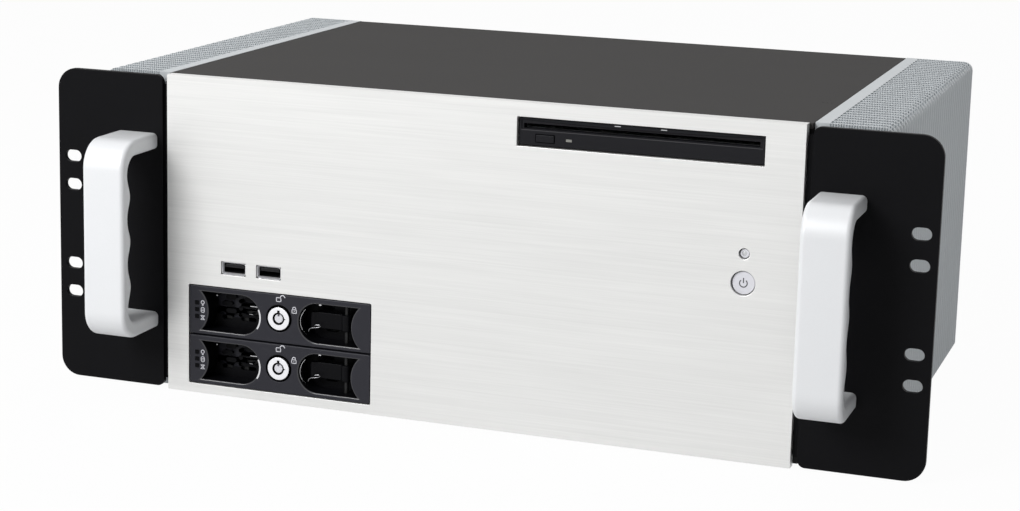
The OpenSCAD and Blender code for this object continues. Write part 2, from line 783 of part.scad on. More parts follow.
module tray_lights(t) {
    color([0.1, 0.1, 0.12]) placed() translate([bay_x, 0, tray_z(t)]) window_places()
        box([-window / 2, window / 2], [tray_y + 0.2, tray_y + 2.5], [-window / 2, window / 2]);
}

// Where a tray front's three indicator windows are
module window_places() {
    for (j = [-1, 0, 1]) translate([window_x, 0, j * window_step]) children();
}

// Two side rails, which fill the space between the drive and the cage, on a cross plate behind the
// tray front
module tray_rails(t) {
    color([0.7, 0.71, 0.73]) placed() translate([bay_x, 0, tray_z(t)]) difference() {
        union() {
            both_sides() box([drive_w / 2, rail_out], [tray_back, drive_y + drive_len - 4],
                [rail_z, rail_z + rail_h]);
            box([-rail_out, rail_out], [tray_back, tray_back + 1.5], [rail_z, rail_z + rail_h]);
        }
        rod_y(lock_bore, tray_back - 1, tray_back + 3);
        for (i = [0:3]) translate([-40 + i * 9, 0, -6]) rod_y(2.5, tray_back - 1, tray_back + 3);
    }
}

module hard_drive(t) {
    y0 = drive_y;
    h = drive_h / 2;
    w = drive_w / 2;
    color("silver") placed() translate([bay_x, 0, tray_z(t)]) difference() {
        box([-w, w], [y0, y0 + drive_len], [-h, h]);
        box([-w - 1, -w + 6], [y0 - 1, y0 + 16], [h - 6, h + 1]);
        box([w - 6, w + 1], [y0 - 1, y0 + 16], [h - 6, h + 1]);
        box([-w + 8, w - 8], [y0 + 8, y0 + drive_len - 10], [-h - 1, -h + 5]);
        translate([0, y0 + 60, h - 0.6]) cylinder(r = 36, h = 2);
    }
}

// The fixed barrel of a lock, with the ring-shaped keyway in its face
module lock_body(t) {
    color("silver") placed() translate([bay_x, 0, tray_z(t)]) difference() {
        union() {
            rod_y(lock_d / 2, tray_y - lock_proud, lock_end);
            rod_y(lock_d / 2 + 2, tray_back + 1.5, tray_back + 3.5);
        }
        rod_y(3.5, tray_y - lock_proud - 1, tray_y + 3);
        rod_y(core_d / 2 + fit / 2, tray_y - lock_proud - 1, lock_end + 1);
        box([-0.6, 0.6], [tray_y - lock_proud - 1, tray_y + 2], [0, 4.6]);
        box([0, 4.4], [tray_y - lock_proud - 1, tray_y - lock_proud + 0.5], [-0.5, 0.5]);
    }
}

// The turning core of a lock, with its cam behind
module lock_core(t) {
    color("gainsboro") placed() translate([bay_x, 0, tray_z(t)]) difference() {
        union() {
            rod_y(core_d / 2, tray_y - lock_proud + 0.3, lock_end + air + 1);
            along_y(lock_end + air, lock_end + air + 1.2) {
                circle(4);
                translate([0, -2]) square([8, 4]);
            }
        }
        box([-0.5, core_d], [tray_y - lock_proud, tray_y - lock_proud + 0.8], [-0.4, 0.4]);
    }
}

// The latch lever: an eye on its pin, an arm across the recess, and a finger tip
module latch(t) {
    reach = hinge_x - 16;
    color([0.12, 0.12, 0.13]) placed()
        translate([bay_x + hinge_x, tray_y + hinge_y, tray_z(t) - lever_h / 2]) difference() {
            linear_extrude(lever_h) {
                circle(3);
                translate([-reach + 2, 0.4 - lever_t / 2]) square([reach - 2, lever_t]);
                translate([-reach + 2, -1.6]) circle(2);
                translate([-reach + 2, -1.6]) square([2, 2]);
            }
            translate([0, 0, -1]) cylinder(r = 1.2 + fit / 2, h = lever_h + 2);
        }
}

module latch_pin(t) {
    color("silver") placed()
        translate([bay_x + hinge_x, tray_y + hinge_y, tray_z(t) - tray_h / 2 + 0.8])
            cylinder(r = 1.2, h = tray_h - 1.6);
}

module tray_upper_front() { tray_front(1); }
module tray_upper_lights() { tray_lights(1); }
module tray_upper_rails() { tray_rails(1); }
module drive_upper() { hard_drive(1); }
module lock_upper_body() { lock_body(1); }
module lock_upper_core() { lock_core(1); }
module latch_upper() { latch(1); }
module latch_upper_pin() { latch_pin(1); }
module tray_lower_front() { tray_front(0); }
module tray_lower_lights() { tray_lights(0); }
module tray_lower_rails() { tray_rails(0); }
module drive_lower() { hard_drive(0); }
module lock_lower_body() { lock_body(0); }
module lock_lower_core() { lock_core(0); }
module latch_lower() { latch(0); }
module latch_lower_pin() { latch_pin(0); }

// ---- Electronics ----

module motherboard() {
    color("darkgreen") placed() difference() {
        box([mobo_x, mobo_x + mobo], [mobo_y, mobo_y + mobo], [mobo_z, mobo_z + board_t]);
        for (h = mobo_holes) translate([h[0], h[1], mobo_z - 1]) cylinder(r = 1.5 + fit, h = 4);
    }
}

// Memory sockets, expansion slot, power connector and the processor's socket
module board_sockets() {
    z = mobo_z + board_t;
    color([0.15, 0.15, 0.16]) placed() {
        for (i = [0, 1]) difference() {
            box([mobo_x + 16 + i * 9.5, mobo_x + 22.5 + i * 9.5], [mobo_y + 8, mobo_y + 150],
                [z, z + 9]);
            box([mobo_x + 18.3 + i * 9.5, mobo_x + 20.2 + i * 9.5], [mobo_y + 12, mobo_y + 146],
                [z + 2, z + 10]);
        }
        box([mobo_x + 44, mobo_x + 133], [mobo_y + 6, mobo_y + 13.5], [z, z + 11]);
        box([mobo_x + 158, mobo_x + 167], [mobo_y + 8, mobo_y + 58], [z, z + 12]);
        box([cpu_x - 19, cpu_x + 19], [cpu_y - 19, cpu_y + 19], [z, z + 4]);
    }
}

module memory() {
    z = mobo_z + board_t + 2;
    color("darkgreen") placed() for (i = [0, 1]) {
        x = mobo_x + 19.25 + i * 9.5;
        box([x - 0.6, x + 0.6], [mobo_y + 12.3, mobo_y + 145.7], [z, z + 30]);
        for (j = [0:7]) if (j != 3) box([x + 0.6, x + 1.8],
            [mobo_y + 18 + j * 16, mobo_y + 28 + j * 16], [z + 9.5, z + 21.5]);
    }
}

// Width, height and place of each connector at the board's back edge
ports = [[13, 27, 12], [14, 16, 30], [20, 20, 52], [14, 15, 74], [17, 29, 95], [14, 15, 116],
    [24, 30, 142]];

module rear_ports() {
    z = mobo_z + board_t;
    color("silver") placed() for (p = ports) difference() {
        box([mobo_x + p[2] - p[0] / 2, mobo_x + p[2] + p[0] / 2],
            [mobo_y + mobo - 17, rear_out + 0.6], [z, z + p[1]]);
        box([mobo_x + p[2] - p[0] / 2 + 1.2, mobo_x + p[2] + p[0] / 2 - 1.2],
            [rear_out - 2.4, rear_out + 2], [z + 1.5, z + p[1] - 1.5]);
    }
}

module io_shield() {
    z = mobo_z + board_t;
    color("silver") placed() difference() {
        box([io_x - io_w / 2 + 0.1, io_x + io_w / 2 - 0.1], [rear_out - 0.8, rear_out],
            [io_z - io_h / 2 + 0.1, io_z + io_h / 2 - 0.1]);
        for (p = ports) box([mobo_x + p[2] - p[0] / 2 - air, mobo_x + p[2] + p[0] / 2 + air],
            [rear_out - 2, rear_out + 1], [z - air, z + p[1] + air]);
    }
}

// Spacers under the board, each with its screw
module standoffs() {
    color("goldenrod") placed() for (h = mobo_holes) translate([h[0], h[1], 0]) {
        translate([0, 0, base_t]) cylinder(r = 3, h = mobo_z - base_t, $fn = 6);
        translate([0, 0, 0.3]) cylinder(r = 1.5, h = mobo_z + board_t);
        translate([0, 0, mobo_z + board_t]) cylinder(r = 2.8, h = 1.8);
    }
}

// The copper block on the processor
module cpu_block() {
    z = mobo_z + board_t + 4;
    color("peru") placed() difference() {
        box([cpu_x - 20, cpu_x + 20], [cpu_y - 20, cpu_y + 20], [z, z + 12]);
        for (i = [0:3]) translate([cpu_x - 21, pipe_y(i), pipe_z]) rotate([0, 90, 0])
            cylinder(r = pipe_r + fit / 2, h = 42);
    }
}

// The clamp that holds the pipes against the right wall
module pipe_clamp() {
    color("silver") placed() difference() {
        box([wall_x - 10, wall_x], [cpu_y - 21, cpu_y + 21], [pipe_z + 20, pipe_z + 100]);
        for (i = [0:3]) translate([wall_x - 5, pipe_y(i), pipe_z]) cylinder(r = pipe_r + fit / 2, h = 120);
    }
}

function pipe_y(i) = cpu_y + (i - 1.5) * 9;

// Four pipes: out of the block to the right wall, then up along it inside the clamp
module heat_pipes() {
    run = wall_x - 5 - pipe_bend - (cpu_x - 20);
    color("chocolate") placed() for (i = [0:3]) translate([cpu_x - 20, pipe_y(i), pipe_z]) {
        rotate([0, 90, 0]) cylinder(r = pipe_r, h = run);
        translate([run, 0, pipe_bend]) rotate([90, 0, 0]) rotate([0, 0, -90])
            rotate_extrude(angle = 90) translate([pipe_bend, 0]) circle(pipe_r);
        translate([run + pipe_bend, 0, pipe_bend]) cylinder(r = pipe_r, h = 82);
    }
}

// ---- Power supply ----

// A sheet-metal shell with its transformer and heatsink inside
module psu_case() {
    wall = 1.2;
    x0 = psu_x - psu_w / 2;
    x1 = psu_x + psu_w / 2;
    z0 = psu_z - psu_h / 2;
    z1 = psu_z + psu_h / 2;
    color([0.35, 0.35, 0.36]) placed() {
        difference() {
            box([x0, x1], [rear_in - psu_d, rear_in], [z0, z1]);
            box([x0 + wall, x1 - wall], [rear_in - psu_d + wall, rear_in - wall],
                [z0 + wall, z1 - wall]);
            box([inlet_x - 13.8, inlet_x + 13.8], [rear_in - 2, rear_in + 1],
                [psu_z - 10.1, psu_z + 10.1]);
            box([rocker_x - 6.6, rocker_x + 6.6], [rear_in - 2, rear_in + 1],
                [psu_z - 9.6, psu_z + 9.6]);
            for (i = [0:5]) translate([psu_x + 12 + i * 7, 0, psu_z])
                along_y(rear_in - 2, rear_in + 1) rotate(90) oblong(36, 3.5);
        }
        // the switch's cheeks, which carry its axle
        for (x = [rocker_x - 7.8, rocker_x + 6.6])
            box([x, x + 1.2], [rear_in - 8, rear_in - wall], [psu_z - 9, psu_z + 9]);
        box([psu_x - 4, psu_x + 34], [rear_in - 62, rear_in - 30], [z0 + wall, z0 + 34]);
        box([psu_x + 40, psu_x + 46], [rear_in - 80, rear_in - 20], [z0 + wall, z0 + 46]);
    }
}

module psu_shelf() {
    z = psu_z - psu_h / 2;
    side = psu_x + psu_w / 2;
    color([0.2, 0.2, 0.21]) placed() {
        box([-body_x + 3.6, side + 2], [rear_in - psu_d, rear_in], [z - sheet, z]);
        box([-body_x, -body_x + 4], [rear_in - psu_d, rear_in - 18], [z - sheet, z]);
        box([-body_x, -body_x + sheet], [rear_in - psu_d, rear_in - 18], [z - 20, z - sheet]);
        box([side, side + 2], [rear_in - psu_d, rear_in], [z, z + 12]);
    }
}

module power_inlet() {
    color([0.08, 0.08, 0.08]) placed() {
        difference() {
            union() {
                box([inlet_x - 13.7, inlet_x + 13.7], [rear_in - 17, rear_in],
                    [psu_z - 10, psu_z + 10]);
                box([inlet_x - 15, inlet_x + 15], [rear_in, rear_in + 2], [psu_z - 12, psu_z + 12]);
            }
            box([inlet_x - 11.7, inlet_x + 11.7], [rear_in - 14, rear_in + 3],
                [psu_z - 7.7, psu_z + 7.7]);
        }
    }
    color("silver") placed() for (p = [[-7, 2], [0, -2], [7, 2]])
        box([inlet_x + p[0] - 1, inlet_x + p[0] + 1], [rear_in - 14, rear_in - 2],
            [psu_z + p[1] - 2, psu_z + p[1] + 2]);
}

// The mains switch, tipped to one side, with a stub axle at each end of its pivot
module power_rocker() {
    color([0.08, 0.08, 0.08]) placed() translate([rocker_x, rear_in - 3, psu_z])
        rotate([rocker_tilt, 0, 0]) {
            box([-5.6, 5.6], [-3, 4], [-8.4, 8.4]);
            translate([-6.4, 0, 0]) rotate([0, 90, 0]) cylinder(r = 1.2, h = 12.8);
        }
}

front_panel();
ear_left();
ear_right();
handle_left();
handle_right();
ear_screws();
panel_studs();
front_frame();
heatsink_left();
heatsink_right();
side_screws();
top_cover();
cover_screws();
base_pan();
rear_panel();
slot_cover();
power_button();
reset_button();
switch_board();
switches();
usb_shells();
usb_tongues();
usb_board();
usb_brackets();
odd_bezel();
odd_eject();
odd_light();
odd_case();
odd_bracket();
drive_cage();
backplane();
tray_upper_front();
tray_upper_lights();
tray_upper_rails();
drive_upper();
lock_upper_body();
lock_upper_core();
latch_upper();
latch_upper_pin();
tray_lower_front();
tray_lower_lights();
tray_lower_rails();
drive_lower();
lock_lower_body();
lock_lower_core();
latch_lower();
latch_lower_pin();
motherboard();
board_sockets();
memory();
rear_ports();
io_shield();
standoffs();
cpu_block();
heat_pipes();
pipe_clamp();
psu_case();
psu_shelf();
power_inlet();
power_rocker();
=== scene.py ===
"""The looks of a fanless 4U rack enclosure for storage: bevelled panels, finned walls, bow handles,
lockable drive trays and a slot-loading disc drive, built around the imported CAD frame."""

import math

import bmesh
import bpy
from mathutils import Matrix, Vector
from mathutils.geometry import tessellate_polygon


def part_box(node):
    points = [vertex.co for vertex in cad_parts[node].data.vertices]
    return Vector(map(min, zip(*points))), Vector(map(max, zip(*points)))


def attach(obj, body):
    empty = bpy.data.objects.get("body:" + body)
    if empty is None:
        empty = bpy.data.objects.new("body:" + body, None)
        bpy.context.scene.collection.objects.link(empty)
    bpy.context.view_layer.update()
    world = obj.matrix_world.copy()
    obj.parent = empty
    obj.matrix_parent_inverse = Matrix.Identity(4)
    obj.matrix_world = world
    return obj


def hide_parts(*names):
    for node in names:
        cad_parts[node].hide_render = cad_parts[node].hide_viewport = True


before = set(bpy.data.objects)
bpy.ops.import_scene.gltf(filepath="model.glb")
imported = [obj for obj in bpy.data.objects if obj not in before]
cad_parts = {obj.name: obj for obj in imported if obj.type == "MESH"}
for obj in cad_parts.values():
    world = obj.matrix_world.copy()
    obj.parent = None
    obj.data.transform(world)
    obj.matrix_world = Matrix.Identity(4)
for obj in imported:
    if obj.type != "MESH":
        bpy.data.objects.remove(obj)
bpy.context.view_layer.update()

MM = 0.001
TRAYS = ("upper", "lower")
RECESS_DOWN = 0.4
COLLAR = 1.3
SIDES = {"left": -1, "right": 1}


def limits(node):
    """Lowest and highest x, y and z of a CAD node, in millimetres."""
    low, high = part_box(node)
    return [(a / MM, b / MM) for a, b in zip(low, high)]


def middle(span):
    """The middle of a (low, high) span."""
    return (span[0] + span[1]) / 2


# ---- Mesh tools: outlines are functions of how far they are offset outwards ----


def arc(x, z, r, start, end, steps):
    """Points round a centre, from one angle to another, in degrees."""
    turns = [math.radians(start + (end - start) * i / steps) for i in range(steps + 1)]
    return [(x + r * math.cos(a), z + r * math.sin(a)) for a in turns]


def rounded(x0, x1, z0, z1, r, steps=6):
    """A rectangle with round corners; r may give one radius for each corner from the upper right."""
    radii = r if isinstance(r, tuple) else (r,) * 4
    corners = [(x1, z1, -1, -1, 0), (x0, z1, 1, -1, 90), (x0, z0, 1, 1, 180), (x1, z0, -1, 1, 270)]

    def outline(offset):
        points = []
        for (x, z, inward_x, inward_z, turn), radius in zip(corners, radii):
            grown = max(radius + offset, 0.01)
            centre = (x + inward_x * radius, z + inward_z * radius)
            points += arc(*centre, grown, turn, turn + 90, steps)
        return points

    return outline


def circle(x, z, r, steps=48):
    """A circle's outline."""
    return lambda offset: arc(x, z, r + offset, 0, 360, steps)[:-1]


def oblong(x, z, length, width):
    """A slot with round ends, lying along x."""
    return rounded(x - length / 2, x + length / 2, z - width / 2, z + width / 2, width / 2)


class Shape:
    """Gathers rings of points, in millimetres, and the faces between them. Rings lie across an axis."""

    ORDER = {"x": (2, 0, 1), "y": (0, 2, 1), "z": (0, 1, 2)}

    def __init__(self, across="y"):
        self.order = self.ORDER[across]
        self.points = []
        self.faces = []

    def add(self, points):
        """Adds points, as x, y and z, and gives their numbers."""
        first = len(self.points)
        self.points += points
        return list(range(first, len(self.points)))

    def ring(self, loop, level):
        """Adds a flat loop at a level along the axis, and gives its points' numbers."""
        return self.add([tuple((u, v, level)[k] for k in self.order) for u, v in loop])

    def face(self, corners):
        """Adds one face, given by its points' numbers."""
        self.faces.append(tuple(corners))

    def wall(self, a, b, closed=True):
        """Quads between two rings with as many points."""
        for i in range(len(a) - (0 if closed else 1)):
            j = (i + 1) % len(a)
            self.face((a[i], a[j], b[j], b[i]))

    def loft(self, rings):
        """Walls along a row of rings."""
        for a, b in zip(rings, rings[1:]):
            self.wall(a, b)

    def cap(self, *rings):
        """A flat face inside the first ring, with the other rings as holes in it."""
        index = [i for ring in rings for i in ring]
        loops = [[Vector(self.points[i]) for i in ring] for ring in rings]
        for corners in tessellate_polygon(loops):
            self.face(index[k] for k in corners)

    def sleeve(self, outline, steps):
        """Rings of one outline at each (offset, level), joined by walls; gives the first and the last."""
        rings = [self.ring(outline(offset), level) for offset, level in steps]
        self.loft(rings)
        return rings[0], rings[-1]

    def solid(self, outline, steps):
        """A closed solid of one outline."""
        for end in self.sleeve(outline, steps):
            self.cap(end)

    def plate(self, outline, steps, holes=(), pockets=()):
        """A plate with holes, given as (outline, steps), and pockets, whose floors have holes of their
        own that run on to the back."""
        front, back = ([ring] for ring in self.sleeve(outline, steps))
        for hole in holes:
            near, far = self.sleeve(*hole)
            front.append(near)
            back.append(far)
        for mouth, depths, through in pockets:
            near, floor = self.sleeve(mouth, depths)
            front.append(near)
            floor = [floor]
            for hole in through:
                near, far = self.sleeve(*hole)
                floor.append(near)
                back.append(far)
            self.cap(*floor)
        self.cap(*front)
        self.cap(*back)


def edged(y0, y1, bevel, back=True):
    """Steps of a straight wall from y0 to y1 with bevelled edges, for an outer outline."""
    deep = bevel if y1 > y0 else -bevel
    end = [(0, y1 - deep), (-bevel, y1)] if back else [(0, y1)]
    return [(-bevel, y0), (-0.3 * bevel, y0 + 0.3 * deep), (0, y0 + deep)] + end


def bored(y0, y1, bevel):
    """Steps of a hole from y0 to y1 with a bevelled mouth at both ends."""
    return [(bevel, y0), (0.3 * bevel, y0 + 0.3 * bevel), (0, y0 + bevel), (0, y1 - bevel), (bevel, y1)]


def piece(shape, name, body, slot, *materials, replaces=(), sharp=32):
    """Makes the shape one smooth-shaded object that rides on a body."""
    mesh = bpy.data.meshes.new(name)
    mesh.from_pydata([(x * MM, y * MM, z * MM) for x, y, z in shape.points], [], shape.faces)
    tidy = bmesh.new()
    tidy.from_mesh(mesh)
    bmesh.ops.remove_doubles(tidy, verts=tidy.verts, dist=0.002 * MM)
    bmesh.ops.recalc_face_normals(tidy, faces=tidy.faces)
    tidy.to_mesh(mesh)
    tidy.free()
    mesh.shade_smooth()
    mesh.set_sharp_from_angle(angle=math.radians(sharp))
    for material in materials:
        mesh.materials.append(material)
    made = bpy.data.objects.new(name, mesh)
    bpy.context.scene.collection.objects.link(made)
    made.modifiers.new("flat_faces_stay_flat", "WEIGHTED_NORMAL").keep_sharp = True
    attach(made, body)
    if replaces:
        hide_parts(*replaces)
    return made


def paint_faces(made, pick):
    """Gives each face the material number that pick returns for its centre, in millimetres."""
    for face in made.data.polygons:
        face.material_index = pick(*(c / MM for c in face.center))


def stroke(shape, points, width, y0, y1):
    """A flat painted line along points, with square ends."""
    left, right = [], []
    for i, (x, z) in enumerate(points):
        ahead = Vector(points[min(i + 1, len(points) - 1)]) - Vector(points[max(i - 1, 0)])
        across = Vector((-ahead.y, ahead.x)).normalized() * width / 2
        left.append((x + across.x, z + across.y))
        right.append((x - across.x, z - across.y))
    shape.solid(lambda offset: left + right[::-1], [(0, y0), (0, y1)])


def loop_stroke(shape, outline, width, y0, y1):
    """A flat painted line round a closed outline."""
    inner, outer = -width / 2, width / 2
    rings = [shape.ring(outline(offset), y) for offset, y in
             ((inner, y0), (outer, y0), (outer, y1), (inner, y1))]
    shape.loft(rings + rings[:1])


# ---- Finishes ----


def noise_sum(tree, layers):
    """Adds up noise layers about zero, each given as (scale per metre along x, y and z), weight."""
    spot = tree.nodes.new("ShaderNodeTexCoord")
    total = None
    for scale, weight in layers:
        stretch = tree.nodes.new("ShaderNodeMapping")
        stretch.inputs["Scale"].default_value = scale
        noise = tree.nodes.new("ShaderNodeTexNoise")
        noise.inputs["Scale"].default_value = 1
        noise.inputs["Detail"].default_value = 3
        part = tree.nodes.new("ShaderNodeMath")
        part.operation = "MULTIPLY_ADD"
        part.inputs[1].default_value = weight
        part.inputs[2].default_value = -weight / 2
        tree.links.new(spot.outputs["Object"], stretch.inputs["Vector"])
        tree.links.new(stretch.outputs["Vector"], noise.inputs["Vector"])
        tree.links.new(noise.outputs["Fac"], part.inputs[0])
        if total is None:
            total = part.outputs[0]
        else:
            both = tree.nodes.new("ShaderNodeMath")
            both.operation = "ADD"
            tree.links.new(total, both.inputs[0])
            tree.links.new(part.outputs[0], both.inputs[1])
            total = both.outputs[0]
    return total


def spread(tree, value, low, high):
    """Maps a value about zero to the range from low to high."""
    node = tree.nodes.new("ShaderNodeMapRange")
    node.inputs["From Min"].default_value = -0.5
    node.inputs["From Max"].default_value = 0.5
    node.inputs["To Min"].default_value = low
    node.inputs["To Max"].default_value = high
    tree.links.new(value, node.inputs["Value"])
    return node.outputs["Result"]


def finish(name, colour, roughness, layers, shade=0.08, relief=0.02, metallic=0.0, specular=0.5,
           rough_spread=0.05, coat=0.0):
    """A material whose colour, roughness and relief, in millimetres, follow the noise layers."""
    material = bpy.data.materials.new(name)
    material.use_nodes = True
    tree = material.node_tree
    shader = tree.nodes["Principled BSDF"]
    shader.inputs["Metallic"].default_value = metallic
    shader.inputs["Specular IOR Level"].default_value = specular
    shader.inputs["Coat Weight"].default_value = coat
    value = noise_sum(tree, layers)
    tint = tree.nodes.new("ShaderNodeMix")
    tint.data_type = "RGBA"
    dark, light = [tuple(min(c * k, 1) for c in colour) + (1,) for k in (1 - shade, 1 + shade)]
    tint.inputs[6].default_value = dark
    tint.inputs[7].default_value = light
    tree.links.new(spread(tree, value, 0, 1), tint.inputs[0])
    tree.links.new(tint.outputs[2], shader.inputs["Base Color"])
    rough = spread(tree, value, max(roughness - rough_spread, 0.02), min(roughness + rough_spread, 1))
    tree.links.new(rough, shader.inputs["Roughness"])
    bump = tree.nodes.new("ShaderNodeBump")
    bump.inputs["Strength"].default_value = 1
    bump.inputs["Distance"].default_value = relief * MM
    tree.links.new(value, bump.inputs["Height"])
    tree.links.new(bump.outputs["Normal"], shader.inputs["Normal"])
    return material


def even(scale):
    """A noise scale that is the same along each axis."""
    return (scale,) * 3


brushed = finish("brushed_aluminium", (0.72, 0.72, 0.71), 0.42, metallic=0.6, shade=0.1, relief=0.003,
                 layers=[((9, 40, 1500), 0.7), ((20, 80, 520), 0.5), ((3, 10, 60), 0.2)])
ear_coat = finish("black_powder_coat", (0.0042, 0.0042, 0.005), 0.45, specular=0.06, relief=0.012,
                  layers=[(even(900), 0.6), (even(25), 0.5)], shade=0.25)
blasted = finish("blasted_aluminium", (0.76, 0.77, 0.785), 0.5, metallic=0.12, shade=0.03,
                 relief=0.01, layers=[(even(1800), 0.7), (even(30), 0.3)])
extruded = finish("extruded_aluminium", (0.56, 0.59, 0.61), 0.42, metallic=0.25, shade=0.07,
                  relief=0.006, layers=[((500, 500, 8), 0.7), (even(40), 0.4)])
cover_coat = finish("charcoal_texture_coat", (0.052, 0.050, 0.049), 0.8, specular=0.1, shade=0.3,
                    relief=0.03, layers=[(even(1300), 0.8), (even(18), 0.25)])
dark_steel = finish("black_steel", (0.012, 0.012, 0.013), 0.55, specular=0.2, shade=0.15,
                    relief=0.02, layers=[(even(1100), 0.7), (even(30), 0.4)])
zinc = finish("zinc_plate", (0.48, 0.48, 0.5), 0.35, metallic=0.95, shade=0.12, relief=0.008,
              layers=[(even(700), 0.6), (even(60), 0.5)])
sheet_steel = finish("galvanised_sheet", (0.55, 0.56, 0.57), 0.42, metallic=0.85, shade=0.12,
                     relief=0.01, layers=[((60, 60, 300), 0.6), (even(90), 0.6)])
dark_cast = finish("dark_anodised_metal", (0.004, 0.004, 0.0045), 0.5, metallic=0.3, shade=0.15,
                   relief=0.01, layers=[(even(300), 0.5), (even(60), 0.6)])
satin_button = finish("satin_button", (0.66, 0.66, 0.70), 0.45, metallic=0.4, shade=0.04,
                      relief=0.006, layers=[(even(1500), 0.6), (even(80), 0.3)])
nickel = finish("nickel_plate", (0.74, 0.74, 0.76), 0.2, metallic=1.0, shade=0.05, relief=0.003,
                layers=[(even(500), 0.5), (even(60), 0.5)])
# Darker nickel that paints light and shade: painted shade on the lock barrels behind their faces, and a
# dimmed painted glint on the latch wires.
dimmed_nickel = finish("painted_dim_nickel", (0.22, 0.22, 0.23), 0.3, metallic=1.0, shade=0.08,
                     relief=0.003, layers=[(even(500), 0.5), (even(60), 0.5)])
tray_plastic = finish("tray_plastic", (0.0148, 0.0148, 0.0205), 0.5, specular=0.25, shade=0.12,
                      relief=0.012, layers=[(even(1600), 0.7), (even(30), 0.3)])
# Near-black plastic that paints shade: the insides of the tray openings, the latch levers in the recesses
# and the stems of the recess glints are darkened for the shade that falls there.
shade_plastic = finish("painted_shade_plastic", (0.0022, 0.0022, 0.003), 0.4, specular=0.08, shade=0.12,
                      relief=0.01, layers=[(even(1600), 0.7), (even(30), 0.3)])
# Glossier rim plastic whose lighter colour is a painted highlight along the bevels of the tray recesses and
# the drive slot's pocket.
highlight_rim_plastic = finish("painted_highlight_rim", (0.026, 0.026, 0.03), 0.3, specular=0.4, shade=0.05, coat=0.25,
                     relief=0.003, layers=[(even(900), 0.5), (even(40), 0.3)])
odd_plastic = finish("drive_front_plastic", (0.0085, 0.0085, 0.0105), 0.5, specular=0.12,
                     shade=0.12, relief=0.01, layers=[(even(1500), 0.7), (even(20), 0.3)])
black_plastic = finish("black_plastic", (0.006, 0.006, 0.007), 0.45, specular=0.2, shade=0.15,
                       relief=0.01, layers=[(even(1200), 0.7), (even(40), 0.3)])
smoked = finish("smoked_lens", (0.0012, 0.0012, 0.002), 0.3, specular=0.08, shade=0.1,
                relief=0.003, layers=[(even(600), 0.5), (even(60), 0.3)])
clear_lens = finish("pale_lens", (0.22, 0.22, 0.20), 0.2, specular=0.4, shade=0.05, coat=0.3,
                    relief=0.003, layers=[(even(600), 0.5), (even(60), 0.3)])
white_print = finish("white_print", (0.60, 0.60, 0.64), 0.5, shade=0.06, relief=0.004,
                     layers=[(even(1500), 0.6), (even(200), 0.4)])
grey_print = finish("grey_print", (0.045, 0.045, 0.052), 0.5, shade=0.1, relief=0.004,
                    layers=[(even(1500), 0.6), (even(200), 0.4)])
lock_face = finish("lock_nickel", (0.86, 0.86, 0.89), 0.3, metallic=0.7, shade=0.03, relief=0.003,
                   layers=[(even(900), 0.5), (even(80), 0.3)])
brass = finish("brass", (0.62, 0.46, 0.2), 0.32, metallic=1.0, shade=0.1, relief=0.006,
               layers=[(even(800), 0.6), (even(60), 0.4)])
copper = finish("copper", (0.72, 0.37, 0.24), 0.34, metallic=1.0, shade=0.14, relief=0.008,
                layers=[((300, 300, 60), 0.6), (even(50), 0.5)])
board_green = finish("circuit_board", (0.012, 0.07, 0.04), 0.35, specular=0.5, shade=0.35, relief=0.02,
                     layers=[((700, 90, 90), 0.6), ((90, 700, 90), 0.6)], coat=0.3)


# ---- Front ----


def front_panel():
    """The brushed panel with its chamfer, openings and button holes."""
    (x0, x1), (y0, y1), (z0, z1) = limits("front_panel")
    chamfer = 1.3
    soft = 0.25
    shape = Shape()
    outer = [(-chamfer - soft, y0), (-chamfer, y0 + 0.05), (-0.15, y0 + chamfer - 0.05),
             (0, y0 + chamfer + 0.1), (0, y1)]
    drive = rounded(*ODD_OPENING, 0.3, 3)
    holes = [(BAY_OUTLINE, bored(y0, y1, 0.3)), (drive, bored(y0, y1, 0.3))]
    holes += [(outline, bored(y0, y1, 0.25)) for outline in USB_OPENINGS]
    button_gap = 0.4
    for node in ("power_button", "reset_button"):
        x, z, r = button_place(node)
        holes.append((circle(x, z, r + button_gap), [(0.45, y0), (0.12, y0 + 0.12), (0, y0 + 0.4), (0, y1)]))
    shape.plate(rounded(x0, x1, z0, z1, 0.05, 1), outer, holes)
    piece(shape, "front_panel_brushed", "chassis", "panel_aluminium", brushed, replaces=["front_panel"])


def button_place(node):
    """Centre and radius of a button's cap, inside its collar."""
    x, _, z = limits(node)
    return middle(x), middle(z), (x[1] - x[0]) / 2 - COLLAR


